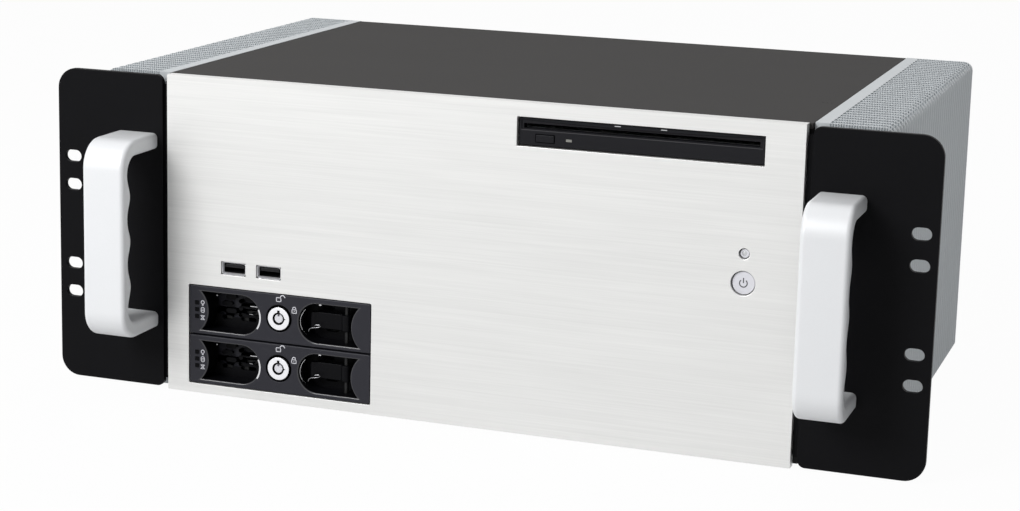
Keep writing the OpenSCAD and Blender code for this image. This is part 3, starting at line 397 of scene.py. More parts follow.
def ear(side):
    """A rack ear with its slots, and the strip and tab that join it to the heatsink and the frame."""
    node = f"ear_{side}"
    (x0, x1), (y0, y1), (z0, z1) = limits(node)
    out = x1 if side == "right" else -x0
    panel_edge = limits("front_panel")[0][1]
    inner = panel_edge + 3.2
    thick = 3
    slot_in, slot_long, slot_tall = 8.75, 9.9, 6.5
    screw_up, screw_r, countersink = 4.4, 2.1, 1.9
    shape = Shape()
    plate = rounded(inner, out, z0, z1, (11, 4, 4, 11), 10)
    slot_x = out - slot_in
    middle_z = middle((z0, z1))
    holes = [(oblong(slot_x, middle_z + rise / 2, slot_long, slot_tall), bored(y0, y0 + thick, 0.3))
             for rise in (-76.2, -44.45, 44.45, 76.2)]
    handle_x, _, handle_z = limits(f"handle_{side}")
    screw_x = abs(middle(handle_x))
    for z in (handle_z[0] + screw_up, handle_z[1] - screw_up):
        holes.append((circle(screw_x, z, screw_r, 24),
                      [(0, y0), (0, y0 + 1), (countersink, y0 + thick)]))
    shape.plate(plate, edged(y0, y0 + thick, 0.35), holes)
    strip_x = panel_edge + 0.6
    wall = limits("heatsink_right")[0][0]
    tab_y = limits("front_panel")[1][1] + 0.3
    section = [(strip_x, y0 + 2), (inner, y0 + 2), (inner, y0 + thick), (wall + 6, y0 + thick),
               (wall + 6, y1), (panel_edge - 12, y1), (panel_edge - 12, tab_y), (strip_x, tab_y)]
    shape.order = Shape.ORDER["z"]
    shape.solid(lambda offset: section, [(0, z0 + 4.7), (0, z1 - 4.7)])
    if side == "left":
        shape.points = [(-x, y, z) for x, y, z in shape.points]
    piece(shape, f"{node}_coated", "chassis", "ear_black", ear_coat, replaces=[node])


def handle(side):
    """A bow handle lofted along its path, with four finger waves behind the grip."""
    node = f"handle_{side}"
    (x0, x1), (y0, y1), (z0, z1) = limits(node)
    x, z, half_w = middle((x0, x1)), middle((z0, z1)), (x1 - x0) / 2
    half, reach = (z1 - z0) / 2, y1 - y0
    arm, grip, wave = 8.8, 9.6, 3.0
    outer_r, inner_r, edge = 15.0, 9.0, 2.6
    deep = reach - grip + wave
    inner = half - arm
    pitch = 2 * inner / 4 + 1.6

    def grip_depth(height):
        """How far the inner side stands from the ear, with its waves for the fingers."""
        swell = (1 + math.cos(2 * math.pi * height / pitch)) / 2
        return deep - wave * swell ** 1.3

    def stations():
        """Pairs of outer and inner points, as (distance from the ear, height), over the upper half."""
        pairs = [((d * (reach - outer_r), half), (d * (deep - inner_r), inner))
                 for d in (0, 0.02, 0.5)]
        corner_steps = 14
        for i in range(corner_steps + 1):
            a = math.radians(90 * i / corner_steps)
            out, up = math.sin(a), math.cos(a)
            pairs.append(((reach - outer_r + outer_r * out, half - outer_r + outer_r * up),
                          (deep - inner_r + inner_r * out, inner - inner_r + inner_r * up)))
        grip_steps = 48
        for i in range(1, grip_steps + 1):
            k = 1 - i / grip_steps
            height = k * (inner - inner_r)
            pairs.append(((reach, k * (half - outer_r)), (grip_depth(height), height)))
        return pairs

    upper = stations()
    path = upper + [((a, -b), (c, -d)) for (a, b), (c, d) in upper[-2::-1]]
    shape = Shape()
    rings = []
    for (far, far_z), (near, near_z) in path:
        out = Vector((far - near, far_z - near_z))
        thick = out.length
        out.normalize()
        section = rounded(-half_w, half_w, 0, thick, edge, 5)(0)
        rings.append(shape.add([(x + u, y1 - near - out.x * v, z + near_z + out.y * v)
                                for u, v in section]))
    shape.loft(rings)
    shape.cap(rings[0])
    shape.cap(rings[-1])
    piece(shape, f"{node}_bow", "chassis", "handle_satin", blasted, replaces=[node], sharp=50)


def heatsink(side):
    """A plate with fins whose faces are rippled by upright grooves; their outer corners are round."""
    node = f"heatsink_{side}"
    (x0, x1), (y0, y1), (z0, z1) = limits(node)
    sign = SIDES[side]
    wall, tip = sorted((abs(x0), abs(x1)))
    fins, fin_t, plate_t, corner = 36, 3, 7, 5.5
    ripple, ripple_pitch = 0.75, 1.33
    groove = ((0, 0), (0.2, 0.06), (0.3, 0.8), (0.42, 1), (0.58, 1), (0.7, 0.8), (0.8, 0.06))
    nose = 1.1
    step = (y1 - y0 - fin_t) / (fins - 1)
    root = wall + plate_t
    ripples = int((tip - root - nose) / ripple_pitch)
    shape = Shape()

    def drop(x):
        """How far the fin's end has dropped where the corner rounds it."""
        past = max(x - (tip - corner), 0)
        return corner - math.sqrt(max(corner ** 2 - past ** 2, 0))

    def edge_points(x, y):
        """The upper and the lower end of an upright edge."""
        return shape.add([(sign * x, y, z1 - drop(x)), (sign * x, y, z0 + drop(x))])

    stations = [(root + (i + share) * ripple_pitch, ripple * cut)
                for i in range(ripples) for share, cut in groove]
    last = root + ripples * ripple_pitch
    stations.append((last, 0))
    for i in range(1, 6):
        a = math.radians(90 * i / 5)
        stations.append((last + (tip - last) * math.sin(a), fin_t / 2 * (1 - math.cos(a)) * 0.98))
    roots = []
    for i in range(fins):
        front = [edge_points(x, y0 + i * step + cut) for x, cut in stations]
        back = [edge_points(x, y0 + i * step + fin_t - cut) for x, cut in stations]
        for a, b, c, d in zip(front, front[1:], back, back[1:]):
            shape.face((a[0], b[0], b[1], a[1]))
            shape.face((c[0], d[0], d[1], c[1]))
            shape.face((a[0], b[0], d[0], c[0]))
            shape.face((a[1], b[1], d[1], c[1]))
        shape.face((front[-1][0], back[-1][0], back[-1][1], front[-1][1]))
        roots += [front[0], back[0]]
    inside = [edge_points(wall, y1), edge_points(wall, y0)]
    ring = roots + inside
    for i in range(1, len(ring), 2):
        a, b = ring[i], ring[(i + 1) % len(ring)]
        shape.face((a[0], b[0], b[1], a[1]))
    shape.face((inside[0][0], inside[1][0], inside[1][1], inside[0][1]))
    shape.cap([pair[0] for pair in ring])
    shape.cap([pair[1] for pair in ring])
    piece(shape, f"{node}_finned", "chassis", "fin_aluminium", extruded, replaces=[node], sharp=40)


def top_cover():
    """The textured cover, with three pin holes near its front corner, and its rear flange."""
    (x0, x1), (y0, y1), (z0, z1) = limits("top_cover")
    thick, flange = 3, 1.5
    plate_back = y1 - 1.3
    pin_in, pin_pitch, pin_back, pin_r = 4.9, 2.35, 68.8, 0.45
    shape = Shape("z")
    outline = rounded(x0, x1, y0, plate_back, 0.4, 3)
    holes = [(circle(x1 - pin_in - i * pin_pitch, y0 + pin_back, pin_r, 12), [(0, z1), (0, z1 - thick)])
             for i in range(3)]
    shape.plate(outline, edged(z1, z1 - thick, 0.35), holes)
    shape.solid(rounded(x0 + 6, x1 - 6, y1 - flange, y1, 0.2, 2), [(0, z1 - thick), (0, z0)])
    piece(shape, "top_cover_textured", "chassis", "cover_charcoal", cover_coat, replaces=["top_cover"])


# ---- Buttons and ports ----


def button(node, body, material):
    """A turned button: rounded cap, collar behind the panel and stem. Returns its place."""
    x, z, r = button_place(node)
    y0, y1 = limits(node)[1]
    collar_y = limits("front_panel")[1][1] + 0.3
    stem = {"power_button": 2.4, "reset_button": 1.4}[node]
    shape = Shape()
    steps = [(-0.6, y0), (-0.25, y0 + 0.08), (0, y0 + 0.4), (0, collar_y), (COLLAR, collar_y),
             (COLLAR, collar_y + 1), (stem - r, collar_y + 1), (stem - r, y1)]
    outline = circle(x, z, r, 64)
    if node == "reset_button":
        near, far = shape.sleeve(outline, steps)
        mouth, floor = shape.sleeve(circle(x, z, 1.2, 64), [(0.15, y0), (0, y0 + 0.15), (0, y0 + 0.5)])
        shape.cap(near, mouth)
        shape.cap(floor)
        shape.cap(far)
    else:
        shape.solid(outline, steps)
    piece(shape, f"{node}_cap", body, "button_metal", material, replaces=[node])
    return x, y0, z


def buttons():
    """Both buttons, the power mark and the small mark in the reset button."""
    x, y, z = button("power_button", "power_button", satin_button)
    shape = Shape()
    ring = arc(x, z - 0.15, 1.95, 130, 410, 40)
    for line in (ring, [(x, z), (x, z + 2.6)]):
        stroke(shape, line, 0.55, y - 0.05, y + 0.02)
    piece(shape, "power_mark", "power_button", "button_metal", grey_print)
    x, y, z = button("reset_button", "reset_button", satin_button)
    shape = Shape()
    shape.solid(circle(x, z, 1.15, 32), edged(y + 0.3, y + 0.5, 0.1))
    stroke(shape, [(x, z - 0.5), (x, z + 0.5)], 0.3, y + 0.25, y + 0.31)
    piece(shape, "reset_dot", "reset_button", "button_metal", sheet_steel)


def usb_ports():
    """Shells rolled from sheet, with flared mouths, and the tongues inside with their contacts."""
    _, (y0, y1), (z0, z1) = limits("usb_shells")
    wide, tall, flare = 7.12, 3.47, 1.3
    z = middle((z0, z1))
    shells, tongues, contacts = Shape(), Shape(), Shape()
    _, (t0, t1), (low, high) = limits("usb_tongues")
    for x in USB_X:
        outline = rounded(x - wide, x + wide, z - tall, z + tall, 1.6)
        near, far = shells.sleeve(outline, [(-0.12, y0), (0, y0 + 0.12), (0, y0 + 5), (-0.4, y0 + 5.4),
                                            (-0.4, y1)])
        mouth, floor = shells.sleeve(outline, [(-0.2, y0), (-0.85, y0 + flare), (-0.9, y0 + flare + 0.4),
                                               (-0.9, y1 - 1)])
        shells.cap(near, mouth)
        shells.cap(floor)
        shells.cap(far)
        tongues.solid(rounded(x - 5.6, x + 5.6, low, high, 0.3, 3), edged(t0, t1, 0.25))
        for i in range(4):
            cx = x - 3.5 + i * 7 / 3
            contacts.solid(rounded(cx - 0.5, cx + 0.5, low - 0.12, low + 0.02, 0.05, 1),
                           [(0, t0 + 0.8), (0, t1 - 1)])
    made = piece(shells, "usb_shell_mouths", "chassis", "port_metal", lock_face, black_plastic,
                 replaces=["usb_shells"])

    def painted_shade_inside(cx, cy, cz):
        """Black for the inner walls and the floor behind the flare: the floor is the port's black plastic
        body, while the black on the metal inner walls is painted shade.
        """
        from_edge = max(min(abs(cx - x) for x in USB_X) - wide, abs(cz - z) - tall)
        return int(from_edge < -0.6 and flare + 0.4 < cy - y0 < y1 - y0 - 0.5)

    paint_faces(made, painted_shade_inside)
    piece(tongues, "usb_tongue_bars", "chassis", "black_plastic", black_plastic,
          replaces=["usb_tongues"])
    piece(contacts, "usb_contacts", "chassis", "spacer_brass", brass)


# ---- Disc drive ----


def odd_front():
    """The disc drive's front: a framed slot under a bowed lip, the eject key and the light."""
    (x0, x1), (y0, y1), (z0, z1) = limits("odd_bezel")
    x, z = middle((x0, x1)), middle((z0, z1))
    bow, frame_low, frame_high = 1.2, z + 0.95, z + 6.1

    def framed(offset):
        """The frame round the slot, whose upper edge bows down in the middle."""
        left, right = x0 + 1.2 - offset, x1 - 1.2 + offset
        top = []
        for i in range(41):
            u = 1 - 2 * i / 40
            top.append((x + u * (right - x), frame_high + offset - bow * (1 - u ** 2)))
        return top + [(left, frame_low - offset), (right, frame_low - offset)]

    slot = rounded(x0 + 2.4, x1 - 2.6, z + 1.5, z + 4.1, 0.4, 3)
    key = [limits("odd_eject")[i] for i in (0, 2)]
    lamp = [limits("odd_light")[i] for i in (0, 2)]
    gap = 0.25
    key_hole = rounded(key[0][0] - gap, key[0][1] + gap, key[1][0] - gap, key[1][1] + gap, 0.4, 3)
    lamp_hole = rounded(*lamp[0], *lamp[1], 0.1, 2)
    shape = Shape()
    holes = [(lamp_hole, [(0.1, y0), (0, y0 + 0.1), (0, y1)]),
             (key_hole, [(0.2, y0), (0, y0 + 0.2), (0, y1)])]
    pocket = (framed, [(0.4, y0), (0.3, y0 + 0.03), (0, y0 + 0.3), (-0.1, y0 + 0.75)],
              [(slot, [(0.1, y0 + 0.75), (0, y0 + 0.9), (0, y1)])])
    shape.plate(rounded(x0, x1, z0, z1, 0.5, 4), edged(y0, y1, 0.3), holes, [pocket])
    made = piece(shape, "odd_front_plate", "chassis", "odd_plastic", odd_plastic, highlight_rim_plastic,
                 replaces=["odd_bezel"])
    # Painted highlight: the lower bevel of the slot's pocket takes the lighter rim plastic.
    paint_faces(made, lambda _, y, height: int(0.02 < y - y0 < 0.5 and 0.4 < height - z < 1.2))
    eject_y = limits("odd_eject")[1]
    shape = Shape()
    shape.solid(rounded(*key[0], *key[1], 0.35, 3), edged(*eject_y, 0.35))
    piece(shape, "odd_eject_key", "odd_eject", "odd_plastic", odd_plastic, replaces=["odd_eject"])
    light_y = limits("odd_light")[1]
    shape = Shape()
    shape.solid(rounded(*lamp[0], *lamp[1], 0.1, 2), [(-0.15, light_y[0] - 0.05), (0, light_y[0] + 0.1),
                                                        (0, light_y[1])])
    piece(shape, "odd_light_lens", "chassis", "odd_lens", clear_lens, replaces=["odd_light"])
    # Two bright steel bits on the lip above the slot that stand in for glints: painted highlights.
    shape = Shape()
    for mark in (-11.7, 12.4):
        shape.solid(rounded(x + mark - 1.6, x + mark + 1.6, z1 - 1.0, z1 - 0.55, 0.15, 2),
                    [(-0.05, y0 - 0.12), (0, y0 - 0.05), (0, y0 + 0.02)])
    piece(shape, "odd_lip_glints", "chassis", "rail_metal", sheet_steel)


# ---- Drive trays ----


def recess(x, z, sign):
    """A finger recess: round at its inner end, with the tray front bulging into its outer end."""
    half, near, far, bulge = 10.7, 11.6, 46.2, 4.2
    bulge_r = (half ** 2 + bulge ** 2) / (2 * bulge)
    bulge_x = far - bulge + bulge_r

    def outline(offset):
        tall = half + offset
        lean = math.degrees(math.asin(tall / (bulge_r - offset)))
        points = arc(near + half, 0, tall, 90, 270, 24)
        points += arc(bulge_x, 0, bulge_r - offset, 180 + lean, 180 - lean, 20)
        return [(x + sign * u, z + v) for u, v in points]

    return outline


def tray_front(level):
    """A tray's moulded front, with recesses, air slots, the lock's bore and the lamps' windows."""
    (x0, x1), (y0, y1), (z0, z1) = limits(f"tray_{level}_front")
    x, z = middle((x0, x1)), middle((z0, z1))
    low_z = z - RECESS_DOWN
    floor = y0 + 11.8
    depths = [(0.75, y0), (0.4, y0 + 0.1), (0.1, y0 + 0.4), (0, y0 + 0.8), (-0.25, floor)]
    shape = Shape()
    left_holes, right_holes = [], []
    through = [(0.2, floor), (0, floor + 0.2), (0, y1)]
    row_pitch, air_slot = 3.9, 2.2
    for row in (-1.5, -0.5, 0.5, 1.5):
        level_z = z + row * row_pitch
        shift = 2.4 if (row - 0.5) % 2 == 0 else 0
        for u, length in ((-21 - shift, 9), (-34 - shift, 6)):
            left_holes.append((oblong(x + u, level_z, length, air_slot), through))
        right_holes.append((oblong(x + 24 + shift, level_z, 7, air_slot), through))
    for row in (-1, 0, 1):
        left_holes.append((circle(x - 28.2, z + row * row_pitch, air_slot / 2, 20), through))
    bore_r, dish_r, dish_floor = 6.5, 7.5, y0 + 4
    bore = (circle(x, z, bore_r, 64), [(0, dish_floor), (0, y1)])
    dish = (circle(x, z, dish_r, 64),
            [(0.4, y0), (0.12, y0 + 0.12), (0, y0 + 0.45), (0, dish_floor)], [bore])
    windows = [(outline, [(0.2, y0), (0.05, y0 + 0.15), (0, y0 + 2.5)], [])
               for outline in window_outlines(level)]
    near = [(recess(x, low_z, -1), depths, left_holes), (recess(x, low_z, 1), depths, right_holes)]
    shape.plate(rounded(x0, x1, z0, z1, 0.8, 4), edged(y0, y1, 0.45), [], near + [dish] + windows)
    made = piece(shape, f"tray_{level}_moulding", f"tray_{level}", "tray_plastic", tray_plastic,
                 shade_plastic, highlight_rim_plastic, replaces=[f"tray_{level}_front"])

    def shade_or_highlight(cx, cy, cz):
        """Painted shade: darker plastic inside every opening. Painted highlight: lighter, glossier rim
        plastic round the recesses.
        """
        depth, away, rise = cy - y0, abs(cx - x), abs(cz - z)
        rim = 0.45
        if away >= 52.5 or rise >= 12.5:
            return 0
        if rim < depth < y1 - y0 - 0.1:
            return 1
        return 2 if 8 < away < 47.5 and 0.01 < depth <= rim else 0

    paint_faces(made, shade_or_highlight)
    return x, y0, z


def window_outlines(level):
    """Outlines of the three square lamp windows, one above another."""
    (x0, x1), _, (z0, z1) = limits(f"tray_{level}_lights")
    size = x1 - x0
    return [rounded(x0, x1, low, low + size, 0.2, 3) for low in (z0, middle((z0, z1 - size)), z1 - size)]


def tray_lights(level):
    """Three smoked windows for the tray's lamps."""
    y0, y1 = limits(f"tray_{level}_lights")[1]
    shape = Shape()
    for outline in window_outlines(level):
        shape.solid(outline, [(-0.45, y0), (-0.2, y0 + 0.15), (-0.2, y1)])
    piece(shape, f"tray_{level}_windows", f"tray_{level}", "lens_dark", smoked,
          replaces=[f"tray_{level}_lights"])


def tray_marks(level, x, y, z):
    """Printed marks: a lamp, a disc stack and a cross by the windows, and two padlocks by the lock."""
    shape = Shape()
    front, back = y - 0.05, y + 0.01
    mark_x = x - 45.5
    lamp_z, disc_z, cross_z = z + 3.9, z, z - 4.3
    loop_stroke(shape, circle(mark_x, lamp_z + 0.35, 0.95, 24), 0.42, front, back)
    stroke(shape, [(mark_x, lamp_z - 0.6), (mark_x, lamp_z - 1.5)], 0.95, front, back)
    loop_stroke(shape, rounded(mark_x - 1, mark_x + 1, disc_z - 1.4, disc_z + 1.4, 0.8), 0.36, front, back)
    for rise in (0.45, -0.4):
        stroke(shape, [(mark_x - 0.9, disc_z + rise), (mark_x + 0.9, disc_z + rise)], 0.26, front, back)
    low, high = cross_z - 1.15, cross_z + 1.15
    for a, b in ((low, high), (high, low)):
        stroke(shape, [(mark_x - 1.1, a), (mark_x + 1.1, b)], 0.5, front, back)
    for rise in (low, high):
        stroke(shape, [(mark_x - 1.3, rise), (mark_x + 1.3, rise)], 0.3, front, back)
    open_x, open_z = x + 0.1, z + 9.5
    loop_stroke(shape, rounded(open_x - 1.5, open_x + 1.1, open_z, open_z + 2.1, 0.3, 3), 0.42,
                front, back)
    stroke(shape, [(open_x + u, open_z + v) for u, v in
                   ((0.7, 2.1), (1.1, 3.0), (1.7, 3.5), (2.6, 3.5), (3.2, 3.0), (3.5, 2.3))],
           0.55, front, back)
    lock_x, lock_z = x + 9.1, z + 4.0
    loop_stroke(shape, rounded(lock_x - 1.3, lock_x + 1.3, lock_z, lock_z + 1.9, 0.3, 3), 0.4, front, back)
    stroke(shape, [(lock_x + u, lock_z + v) for u, v in
                   ((-0.95, 1.9), (-0.85, 2.8), (-0.4, 3.3), (0.4, 3.3), (0.85, 2.8), (0.95, 1.9))],
           0.46, front, back)
    shape.solid(circle(lock_x, lock_z + 0.95, 0.26, 12), [(0, front), (0, back)])
    piece(shape, f"tray_{level}_marks", f"tray_{level}", "tray_plastic", white_print)


def keyway(x, z):
    """The ring-shaped keyway with its notch above and its pointer at the right."""

    r, notch, notch_top, tip = 3.45, 0.75, 4.6, 4.4
    points = arc(0, 0, r, 8, 78, 14)
    points += [(notch, notch_top), (-notch, notch_top)]
    points += arc(0, 0, r, 102, 352, 44)
    points += [(tip, 0)]
    return lambda offset: [(x + u, z + v) for u, v in points]


def lock(level):
    """A tubular lock: bevelled barrel with a flange behind, and a turning core with its cam."""
    node = f"lock_{level}_body"
    (x0, x1), (y0, y1), (z0, z1) = limits(node)
    x, z = middle((x0, x1)), middle((z0, z1))
    r, flange = 6.4, (x1 - x0) / 2
    flange_y = limits(f"tray_{level}_front")[1][1] + 1.5
    shape = Shape()
    near, far = shape.sleeve(circle(x, z, r, 64), [
        (-0.55, y0), (-0.2, y0 + 0.12), (0, y0 + 0.5), (0, flange_y), (flange - r, flange_y),
        (flange - r, flange_y + 2), (0, flange_y + 2), (0, y1)])
    mouth, floor = shape.sleeve(keyway(x, z), [(0, y0), (0, y0 + 3)])
    core_hole, core_end = shape.sleeve(circle(x, z, 2.6, 48), [(0, y0 + 3), (0, y1)])
    shape.cap(near, mouth)
    shape.cap(floor, core_hole)
    shape.cap(far, core_end)
    made = piece(shape, f"{node}_barrel", f"tray_{level}", "lock_chrome", lock_face, black_plastic,
                 dimmed_nickel, replaces=[node])

    def keyway_and_barrel_shade(cx, cy, cz):
        """Painted shade: black inside the keyway, and darker nickel on the barrel behind the face."""
        if math.hypot(cx - x, cz - z) < 4.7 and 0.2 < cy - y0 < 3.5:
            return 1
        return 2 if cy - y0 > 0.3 else 0

    paint_faces(made, keyway_and_barrel_shade)
    core = f"lock_{level}_core"
    c0, c1 = limits(core)[1]
    cam_x = limits(core)[0][1]
    shape = Shape()

    def notched(offset):
        """The core's round end with its notch."""
        size = 2.45 + offset
        return [(x + u, z + v) for u, v in
                arc(0, 0, size, 105, 435, 44) + [(0.6, 1.3), (-0.6, 1.3)]]

    cam_y = c1 - 1.2
    shape.solid(notched, [(-0.25, c0), (0, c0 + 0.25), (0, cam_y)])
    cam = [(x + u, z + v) for u, v in arc(0, 0, 4, 30, 330, 30)]
    cam += [(cam_x, z - 2), (cam_x, z + 2)]
    shape.solid(lambda offset: cam, [(0, cam_y), (0, c1)])
    piece(shape, f"{core}_plug", f"lock_{level}", "lock_chrome", satin_button, replaces=[core])


def latch(level):
    """The latch lever with its eye and hooked finger tip, in near-black plastic as painted shade, and a
    bright wire on the tip that stands in for a glint, a painted highlight.
    """
    node = f"latch_{level}"
    (x0, _), (y0, _), (z0, z1) = limits(node)
    pin = limits(f"latch_{level}_pin")
    hinge_x, hinge_y = middle(pin[0]), middle(pin[1])
    z = middle((z0, z1))
    shape = Shape("z")

    def lever(offset):
        """The lever from above: arm, hooked tip, inner side and the eye round the pin."""
        arm = [(hinge_x - 2, hinge_y + 1.9 + offset), (x0 + 3, hinge_y + 1.9 + offset)]
        tip = arc(x0 + 2, hinge_y - 0.2, 2 + offset, 100, 300, 16)
        inner = [(x0 + 5.5, hinge_y - 1.1 - offset), (hinge_x - 2.6, hinge_y - 1.1 - offset)]
        eye = arc(hinge_x, hinge_y, 3 + offset, -150, 140, 26)
        return arm + tip + inner + eye

    near, far = shape.sleeve(lever, edged(z1, z0, 0.5))
    bore = circle(hinge_x, hinge_y, 1.25, 24)
    top, bottom = shape.sleeve(bore, [(0, z1), (0, z0)])
    shape.cap(near, top)
    shape.cap(far, bottom)
    # Near-black lever: painted shade in the recess.
    piece(shape, f"{node}_lever", node, "latch_plastic", shade_plastic, replaces=[node])
    # A bright wire on the lever's tip that stands in for a glint: a painted highlight.
    glint_wire = Shape()
    wire, down = 0.26, 3.3
    route = [(0.2, -2.6), (0.7, -1.3), (2.2, -0.5), (4.4, -0.3), (6.2, 0.1), (7.2, 0.8), (6.4, 1.4),
             (4.0, 1.1)]
    tube(glint_wire, [(x0 + u, y0 - 0.25 + 0.04 * k, z + v - down) for k, (u, v) in enumerate(route)], wire)
    piece(glint_wire, f"{node}_clip", node, "pin_steel", dimmed_nickel, sharp=60)


def tube(shape, points, r, sides=8):
    """A round wire along points given in millimetres."""
    rings = []
    for i, point in enumerate(points):
        ahead = Vector(points[min(i + 1, len(points) - 1)]) - Vector(points[max(i - 1, 0)])
        turn = ahead.to_track_quat("Z", "Y")
        rings.append(shape.add([tuple(Vector(point) + turn @ Vector((u, v, 0)))
                                for u, v in circle(0, 0, r, sides)(0)]))
    shape.loft(rings)
    shape.face(rings[0])
    shape.face(rings[-1])


def recess_glints(level, x, y, z):
    """Small bright nickel faces deep in the recesses that stand in for glints, painted highlights, on stems
    darkened as painted shade.
    """
    shape = Shape()
    for u, v, length, tall in ((-20.3, 3.1, 5.0, 0.5), (26.6, 3.2, 5.4, 0.5), (-20.8, -1.4, 2.2, 0.35),
                               (-41.0, 7.2, 1.0, 0.7), (20.4, 8.2, 1.4, 0.8)):
        glint_outline = rounded(x + u, x + u + length, z + v - tall / 2, z + v + tall / 2, 0.2, 3)
        shape.solid(glint_outline, [(-0.1, y + 7), (0, y + 7.1), (0, y + 11.75)])
    made = piece(shape, f"tray_{level}_painted_glint_faces", f"tray_{level}", "pin_steel", nickel, shade_plastic)
    # Painted shade: the stems behind the bright front faces take the near-black plastic.
    paint_faces(made, lambda _x, depth, _z: int(depth > y + 7.5))


def crescent(r_in, r_out, shift, start, end):
    """A crescent between two arcs; shift is how far the inner arc's centre lies to the right."""
    steps = 20
    outer = arc(0, 0, r_out, start, end, steps)
    inner = arc(shift, 0, r_in, start, end, steps)
    return outer + inner[::-1]


def recess_highlight_crescents(level, x, y, z):
    """Bright nickel crescents at the round ends of the recesses that stand in for painted highlights: one on
    the rim, one on the wall.
    """
    low_z = z - RECESS_DOWN
    shape = Shape()
    end_x = 22.3
    rim = [(x - end_x + u, low_z - 0.6 + v) for u, v in crescent(10.85, 11.65, -0.05, -33, 24)]
    shape.solid(lambda offset: rim, [(0, y - 0.04), (0, y + 0.5)])
    steps, r, deepest = 24, 9.98, 3.0
    rings = []
    for i in range(steps + 1):
        share = i / steps
        a = math.radians(140 + 86 * share)
        half = 0.06 + deepest / 2 * math.sin(math.pi * share)
        around = [(r, -half), (r + 0.15, -half), (r + 0.15, half), (r, half)]
        rings.append(shape.add([(x + end_x + k * math.cos(a), y + 2.6 + d, low_z + k * math.sin(a))
                                for k, d in around]))
    shape.loft(rings)
    shape.face(rings[0])
    shape.face(rings[-1])
    piece(shape, f"tray_{level}_painted_highlights", f"tray_{level}", "pin_steel", nickel)


def trays():
    """Both drive trays with all that rides on them."""
    for level in TRAYS:
        place = tray_front(level)
        tray_lights(level)
        tray_marks(level, *place)
        lock(level)
        latch(level)
        recess_glints(level, *place)
        recess_highlight_crescents(level, *place)


# ---- CAD nodes that keep their shape ----

KEPT = {
    dark_steel: ["front_frame", "base_pan", "rear_panel", "psu_shelf", "odd_bracket"],
    zinc: ["ear_screws", "panel_studs", "side_screws", "cover_screws", "switches"],
    sheet_steel: ["slot_cover", "usb_brackets", "drive_cage", "io_shield", "odd_case", "pipe_clamp",
                  "psu_case"],
    dark_cast: ["tray_upper_rails", "tray_lower_rails", "drive_upper", "drive_lower", "latch_upper_pin",
                "latch_lower_pin"],
    board_green: ["switch_board", "usb_board", "backplane", "motherboard", "memory"],
    nickel: ["rear_ports"],
    black_plastic: ["board_sockets", "power_inlet", "power_rocker"],
    brass: ["standoffs"],
    copper: ["cpu_block", "heat_pipes"],
}


def keep_nodes():
    """Gives the CAD nodes that keep their shape their finishes."""
    for material, nodes in KEPT.items():
        for node in nodes:
            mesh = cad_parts[node].data
            mesh.materials.clear()
            mesh.materials.append(material)


# ---- Stage ----


def white_when_seen(tree, lit, strength=1.0):
    """Mixes a lit shader with plain white where the camera, gloss or glass sees it."""
    path = tree.nodes.new("ShaderNodeLightPath")
    seen = path.outputs["Is Camera Ray"]
    for ray in ("Is Glossy Ray", "Is Transmission Ray"):
        either = tree.nodes.new("ShaderNodeMath")
        either.operation = "MAXIMUM"
        tree.links.new(seen, either.inputs[0])
        tree.links.new(path.outputs[ray], either.inputs[1])
        seen = either.outputs[0]
    share = tree.nodes.new("ShaderNodeMath")
    share.operation = "MULTIPLY"
    share.inputs[1].default_value = strength
    tree.links.new(seen, share.inputs[0])
    kind = "ShaderNodeBackground" if lit.node.type == "BACKGROUND" else "ShaderNodeEmission"
    white = tree.nodes.new(kind)
    white.inputs["Color"].default_value = (1, 1, 1, 1)
    mix = tree.nodes.new("ShaderNodeMixShader")
    tree.links.new(share.outputs[0], mix.inputs[0])
    tree.links.new(lit, mix.inputs[1])
    tree.links.new(white.outputs[0], mix.inputs[2])
    return mix.outputs[0]


def stage():
    """A pale floor that keeps a soft shadow, and a white surround."""
    size = 12
    mesh = bpy.data.meshes.new("floor")
    mesh.from_pydata([(-size, -size, 0), (size, -size, 0), (size, size, 0), (-size, size, 0)], [],
                     [(0, 1, 2, 3)])
    floor = bpy.data.objects.new("floor", mesh)
    bpy.context.scene.collection.objects.link(floor)
    floor.location.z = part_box("base_pan")[0].z - 0.0005
    paint = bpy.data.materials.new("floor_paint")
    paint.use_nodes = True
    tree = paint.node_tree
    shader = tree.nodes["Principled BSDF"]
    shader.inputs["Base Color"].default_value = (0.72, 0.72, 0.72, 1)
    shader.inputs["Roughness"].default_value = 0.9
    shader.inputs["Specular IOR Level"].default_value = 0
    mixed = white_when_seen(tree, shader.outputs[0], 0.97)
    tree.links.new(mixed, tree.nodes["Material Output"].inputs["Surface"])
    mesh.materials.append(paint)

    world = bpy.data.worlds.new("surround")
    bpy.context.scene.world = world
    world.use_nodes = True
    tree = world.node_tree
    ambient = tree.nodes["Background"]
    ambient.inputs["Color"].default_value = (0.96, 0.98, 1, 1)
    ambient.inputs["Strength"].default_value = 0.18
    mixed = white_when_seen(tree, ambient.outputs[0])
    tree.links.new(mixed, tree.nodes["World Output"].inputs["Surface"])


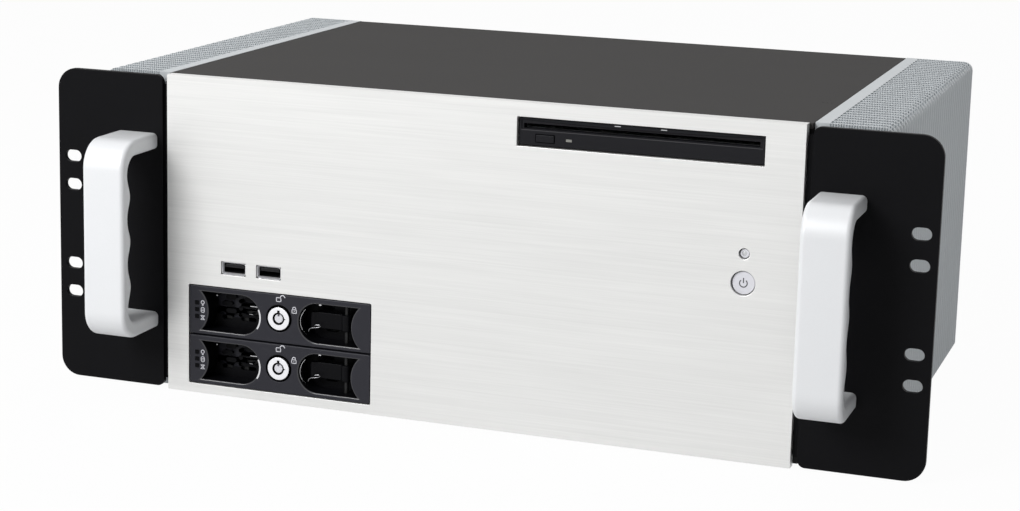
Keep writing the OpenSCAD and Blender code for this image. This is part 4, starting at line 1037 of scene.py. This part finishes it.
def lamp(name, place, aim, size, power):
    """A soft square lamp that shines from place towards aim."""
    light = bpy.data.lights.new(name, "AREA")
    light.size = size
    light.energy = power
    made = bpy.data.objects.new(name, light)
    made.location = place
    made.rotation_euler = (Vector(aim) - Vector(place)).to_track_quat("-Z", "Y").to_euler()
    bpy.context.scene.collection.objects.link(made)


def lamps():
    """A large key lamp from the front left, and a weak one above."""
    target = (0, 0, 0.08)
    lamp("key_lamp", (-1.0, -1.75, 1.3), target, 1.0, 47)
    lamp("top_lamp", (-0.2, 0.5, 2.2), target, 1.6, 9.5)


def camera():
    """The view from the front right, a little above."""
    lens = bpy.data.cameras.new("camera")
    lens.lens = 80.91
    lens.sensor_width = 36
    lens.shift_x = 0.0270
    lens.shift_y = -0.0592
    made = bpy.data.objects.new("camera", lens)
    made.location = (0.3983, -1.20665, 0.3551)
    made.rotation_euler = [math.radians(a) for a in (78.755, -1.291, 20.001)]
    bpy.context.scene.collection.objects.link(made)
    bpy.context.scene.camera = made


def openings():
    """Openings of the front panel, worked out from what fills them."""
    gap, drive_gap = 0.45, 0.6
    upper, lower = limits("tray_upper_front"), limits("tray_lower_front")
    bay = rounded(upper[0][0] - gap, upper[0][1] + gap, lower[2][0] - gap, upper[2][1] + gap, 1, 6)
    drive = limits("odd_bezel")
    opening = (drive[0][0] - drive_gap, drive[0][1] + drive_gap,
               drive[2][0] - drive_gap, drive[2][1] + drive_gap)
    shells = limits("usb_shells")
    shell_half, wide, tall = 6.7, 7.3, 3.65
    usb_x = (shells[0][0] + shell_half, shells[0][1] - shell_half)
    z = middle(shells[2])
    ports = [rounded(x - wide, x + wide, z - tall, z + tall, 0.3, 3) for x in usb_x]
    return bay, opening, usb_x, ports


BAY_OUTLINE, ODD_OPENING, USB_X, USB_OPENINGS = openings()

bpy.context.scene.view_settings.view_transform = "Standard"
front_panel()
for side_name in SIDES:
    ear(side_name)
    handle(side_name)
    heatsink(side_name)
top_cover()
buttons()
usb_ports()
odd_front()
trays()
keep_nodes()
camera()
lamps()
stage()
